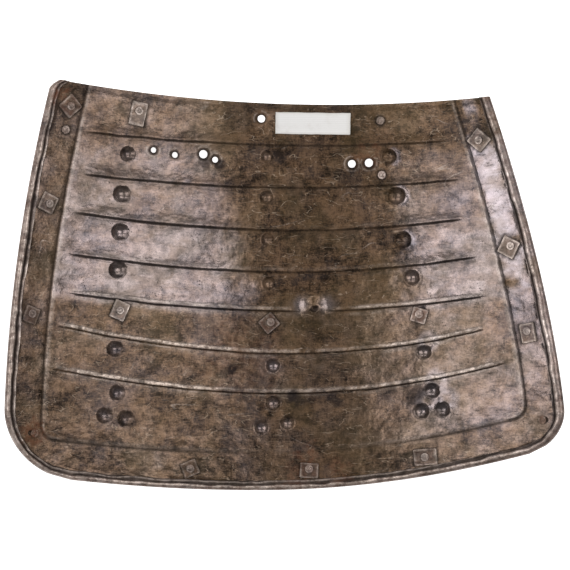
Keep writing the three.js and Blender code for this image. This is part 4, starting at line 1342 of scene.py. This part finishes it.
class TASSET_OT_label(bpy.types.Operator):
    """Makes the bare paper label glued near the top edge."""

    bl_idname = "tasset.label"
    bl_label = "Make label"

    def execute(self, context):
        sizes = context.scene.tasset_fittings
        middle = sheet_place("paper_label")
        turn = math.radians(-1)
        columns, rows, thick, ragged = 32, 10, 0.35 * MM, 0.12 * MM
        a, b = np.meshgrid(np.linspace(-1, 1, columns + 1), np.linspace(-1, 1, rows + 1), indexing="ij")
        a, b = a.ravel(), b.ravel()
        dx = a * sizes.label_width / 2 + ragged * waves(a * 0.03, b * 0.01, 4 * MM, 41) * (np.abs(a) > 0.98)
        dy = b * sizes.label_height / 2 + ragged * waves(a * 0.03, b * 0.01, 5 * MM, 42) * (np.abs(b) > 0.98)
        x = middle.x + dx * math.cos(turn) - dy * math.sin(turn)
        y = middle.y + dx * math.sin(turn) + dy * math.cos(turn)
        lift = 0.08 * MM * (1 + waves(x, y, 7 * MM, 43)) + 0.25 * MM * unit(np.abs(a) - 0.93) / 0.07
        sides = [over_sheet(x, y, CLEARANCE + lift + thick), over_sheet(x, y, CLEARANCE + lift)]
        count = len(a)
        faces, outline = grid_faces(columns, rows)
        faces += [tuple(count + k for k in reversed(face)) for face in faces]
        faces += [(p, p + count, q + count, q) for p, q in zip(outline, outline[1:] + outline[:1])]
        edge = np.tile(unit((np.maximum(np.abs(a), np.abs(b)) - 0.9) / 0.1), 2)
        piece = new_mesh_object("label", in_part_frame(np.concatenate(sides)), faces, {"edge": edge})
        finish_piece(piece, paper_material(context.scene.tasset_look), ["paper_label"])
        return {"FINISHED"}


# Soft lamps: angle from straight over the plate to the right, angle up the plate, width, height, brightness
LAMPS = [
    ("Right softbox", 27, 1, 0.92, 0.60, 3.25), ("Left softbox", -35, -2, 0.80, 0.66, 3.5),
    ("Right high lamp", 24, 38, 0.80, 0.46, 3.0), ("Left high lamp", -34, 38, 0.80, 0.46, 3.0),
]
LAMP_DISTANCE = 1.3
FLOOR_SIDE = 4.0


class TASSET_OT_stage(bpy.types.Operator):
    """Makes the pale floor, the soft lamps and the camera of the photograph."""

    bl_idname = "tasset.stage"
    bl_label = "Make stage"

    def execute(self, context):
        scene = context.scene
        setup = scene.tasset_stage
        camera = scene.camera = add_object("Camera", bpy.data.cameras.new("Camera"))
        camera.data.lens = setup.lens
        camera.data.sensor_width = 36.0
        place = SHEET @ Vector((0, 8 * MM, setup.camera_distance))
        camera.matrix_world = Matrix.Translation(place) @ SHEET.to_3x3().to_4x4()

        for name, side, up, width, height, glow in LAMPS:
            data = bpy.data.lights.new(name, "AREA")
            data.shape = "RECTANGLE"
            data.size, data.size_y = width, height
            data.energy = glow * math.pi * width * height * setup.light_strength
            lamp = add_object(name, data)
            aim = Euler((math.radians(-up), math.radians(side), 0)).to_matrix().to_4x4()
            lamp.matrix_world = aim @ Matrix.Translation((0, 0, LAMP_DISTANCE))
            lamp.visible_camera = False

        mesh = bpy.data.meshes.new("floor")
        corners = [(FLOOR_SIDE * a, FLOOR_SIDE * b, 0) for a, b in ((-1, -1), (1, -1), (1, 1), (-1, 1))]
        mesh.from_pydata(corners, [], [(0, 1, 2, 3)])
        floor = add_object("floor", mesh)
        material = bpy.data.materials.new("Pale floor")
        material.use_nodes = True
        inputs = material.node_tree.nodes["Principled BSDF"].inputs
        for key, value in {"Base Color": (0.9, 0.9, 0.9, 1), "Roughness": 0.9, "Specular IOR Level": 0.0,
                           "Emission Color": (1, 1, 1, 1), "Emission Strength": setup.floor_glow}.items():
            inputs[key].default_value = value
        mesh.materials.append(material)
        floor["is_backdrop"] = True

        world = scene.world = scene.world or bpy.data.worlds.new("World")
        world.use_nodes = True
        background = world.node_tree.nodes.get("Background")
        background.inputs[0].default_value = (1, 1, 1, 1)
        background.inputs[1].default_value = setup.air_light
        scene.view_settings.view_transform = "Standard"
        scene.view_settings.look = "None"
        return {"FINISHED"}


OPERATORS = [TASSET_OT_plate, TASSET_OT_rivets, TASSET_OT_washers, TASSET_OT_label, TASSET_OT_stage]
SETTINGS = {"tasset_plate": TassetPlate, "tasset_fittings": TassetFittings, "tasset_look": TassetLook,
            "tasset_stage": TassetStage}


class TASSET_PT_panel(bpy.types.Panel):
    """Lists the tasset's operators and settings."""

    bl_idname = "TASSET_PT_panel"
    bl_label = "Tasset"
    bl_space_type = "VIEW_3D"
    bl_region_type = "UI"
    bl_category = "Tasset"

    def draw(self, context):
        for operator in OPERATORS:
            self.layout.operator(operator.bl_idname)
        for key, group in SETTINGS.items():
            box = self.layout.box()
            for setting in group.__annotations__:
                box.prop(getattr(context.scene, key), setting)


def register():
    for item in (*SETTINGS.values(), *OPERATORS, TASSET_PT_panel):
        bpy.utils.register_class(item)
    for key, group in SETTINGS.items():
        setattr(bpy.types.Scene, key, bpy.props.PointerProperty(type=group))


def unregister():
    for key in SETTINGS:
        delattr(bpy.types.Scene, key)
    for item in (TASSET_PT_panel, *OPERATORS, *SETTINGS.values()):
        bpy.utils.unregister_class(item)


def write_sizes():
    plain = lambda box: [list(map(float, corner)) for corner in box]
    {"cad": plain(cad_box), "visual": plain(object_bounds())}


def main():
    register()
    bpy.ops.tasset.stage()
    bpy.ops.tasset.plate()
    bpy.ops.tasset.rivets()
    bpy.ops.tasset.washers()
    bpy.ops.tasset.label()
    write_sizes()


if __name__ == "__main__":
    main()
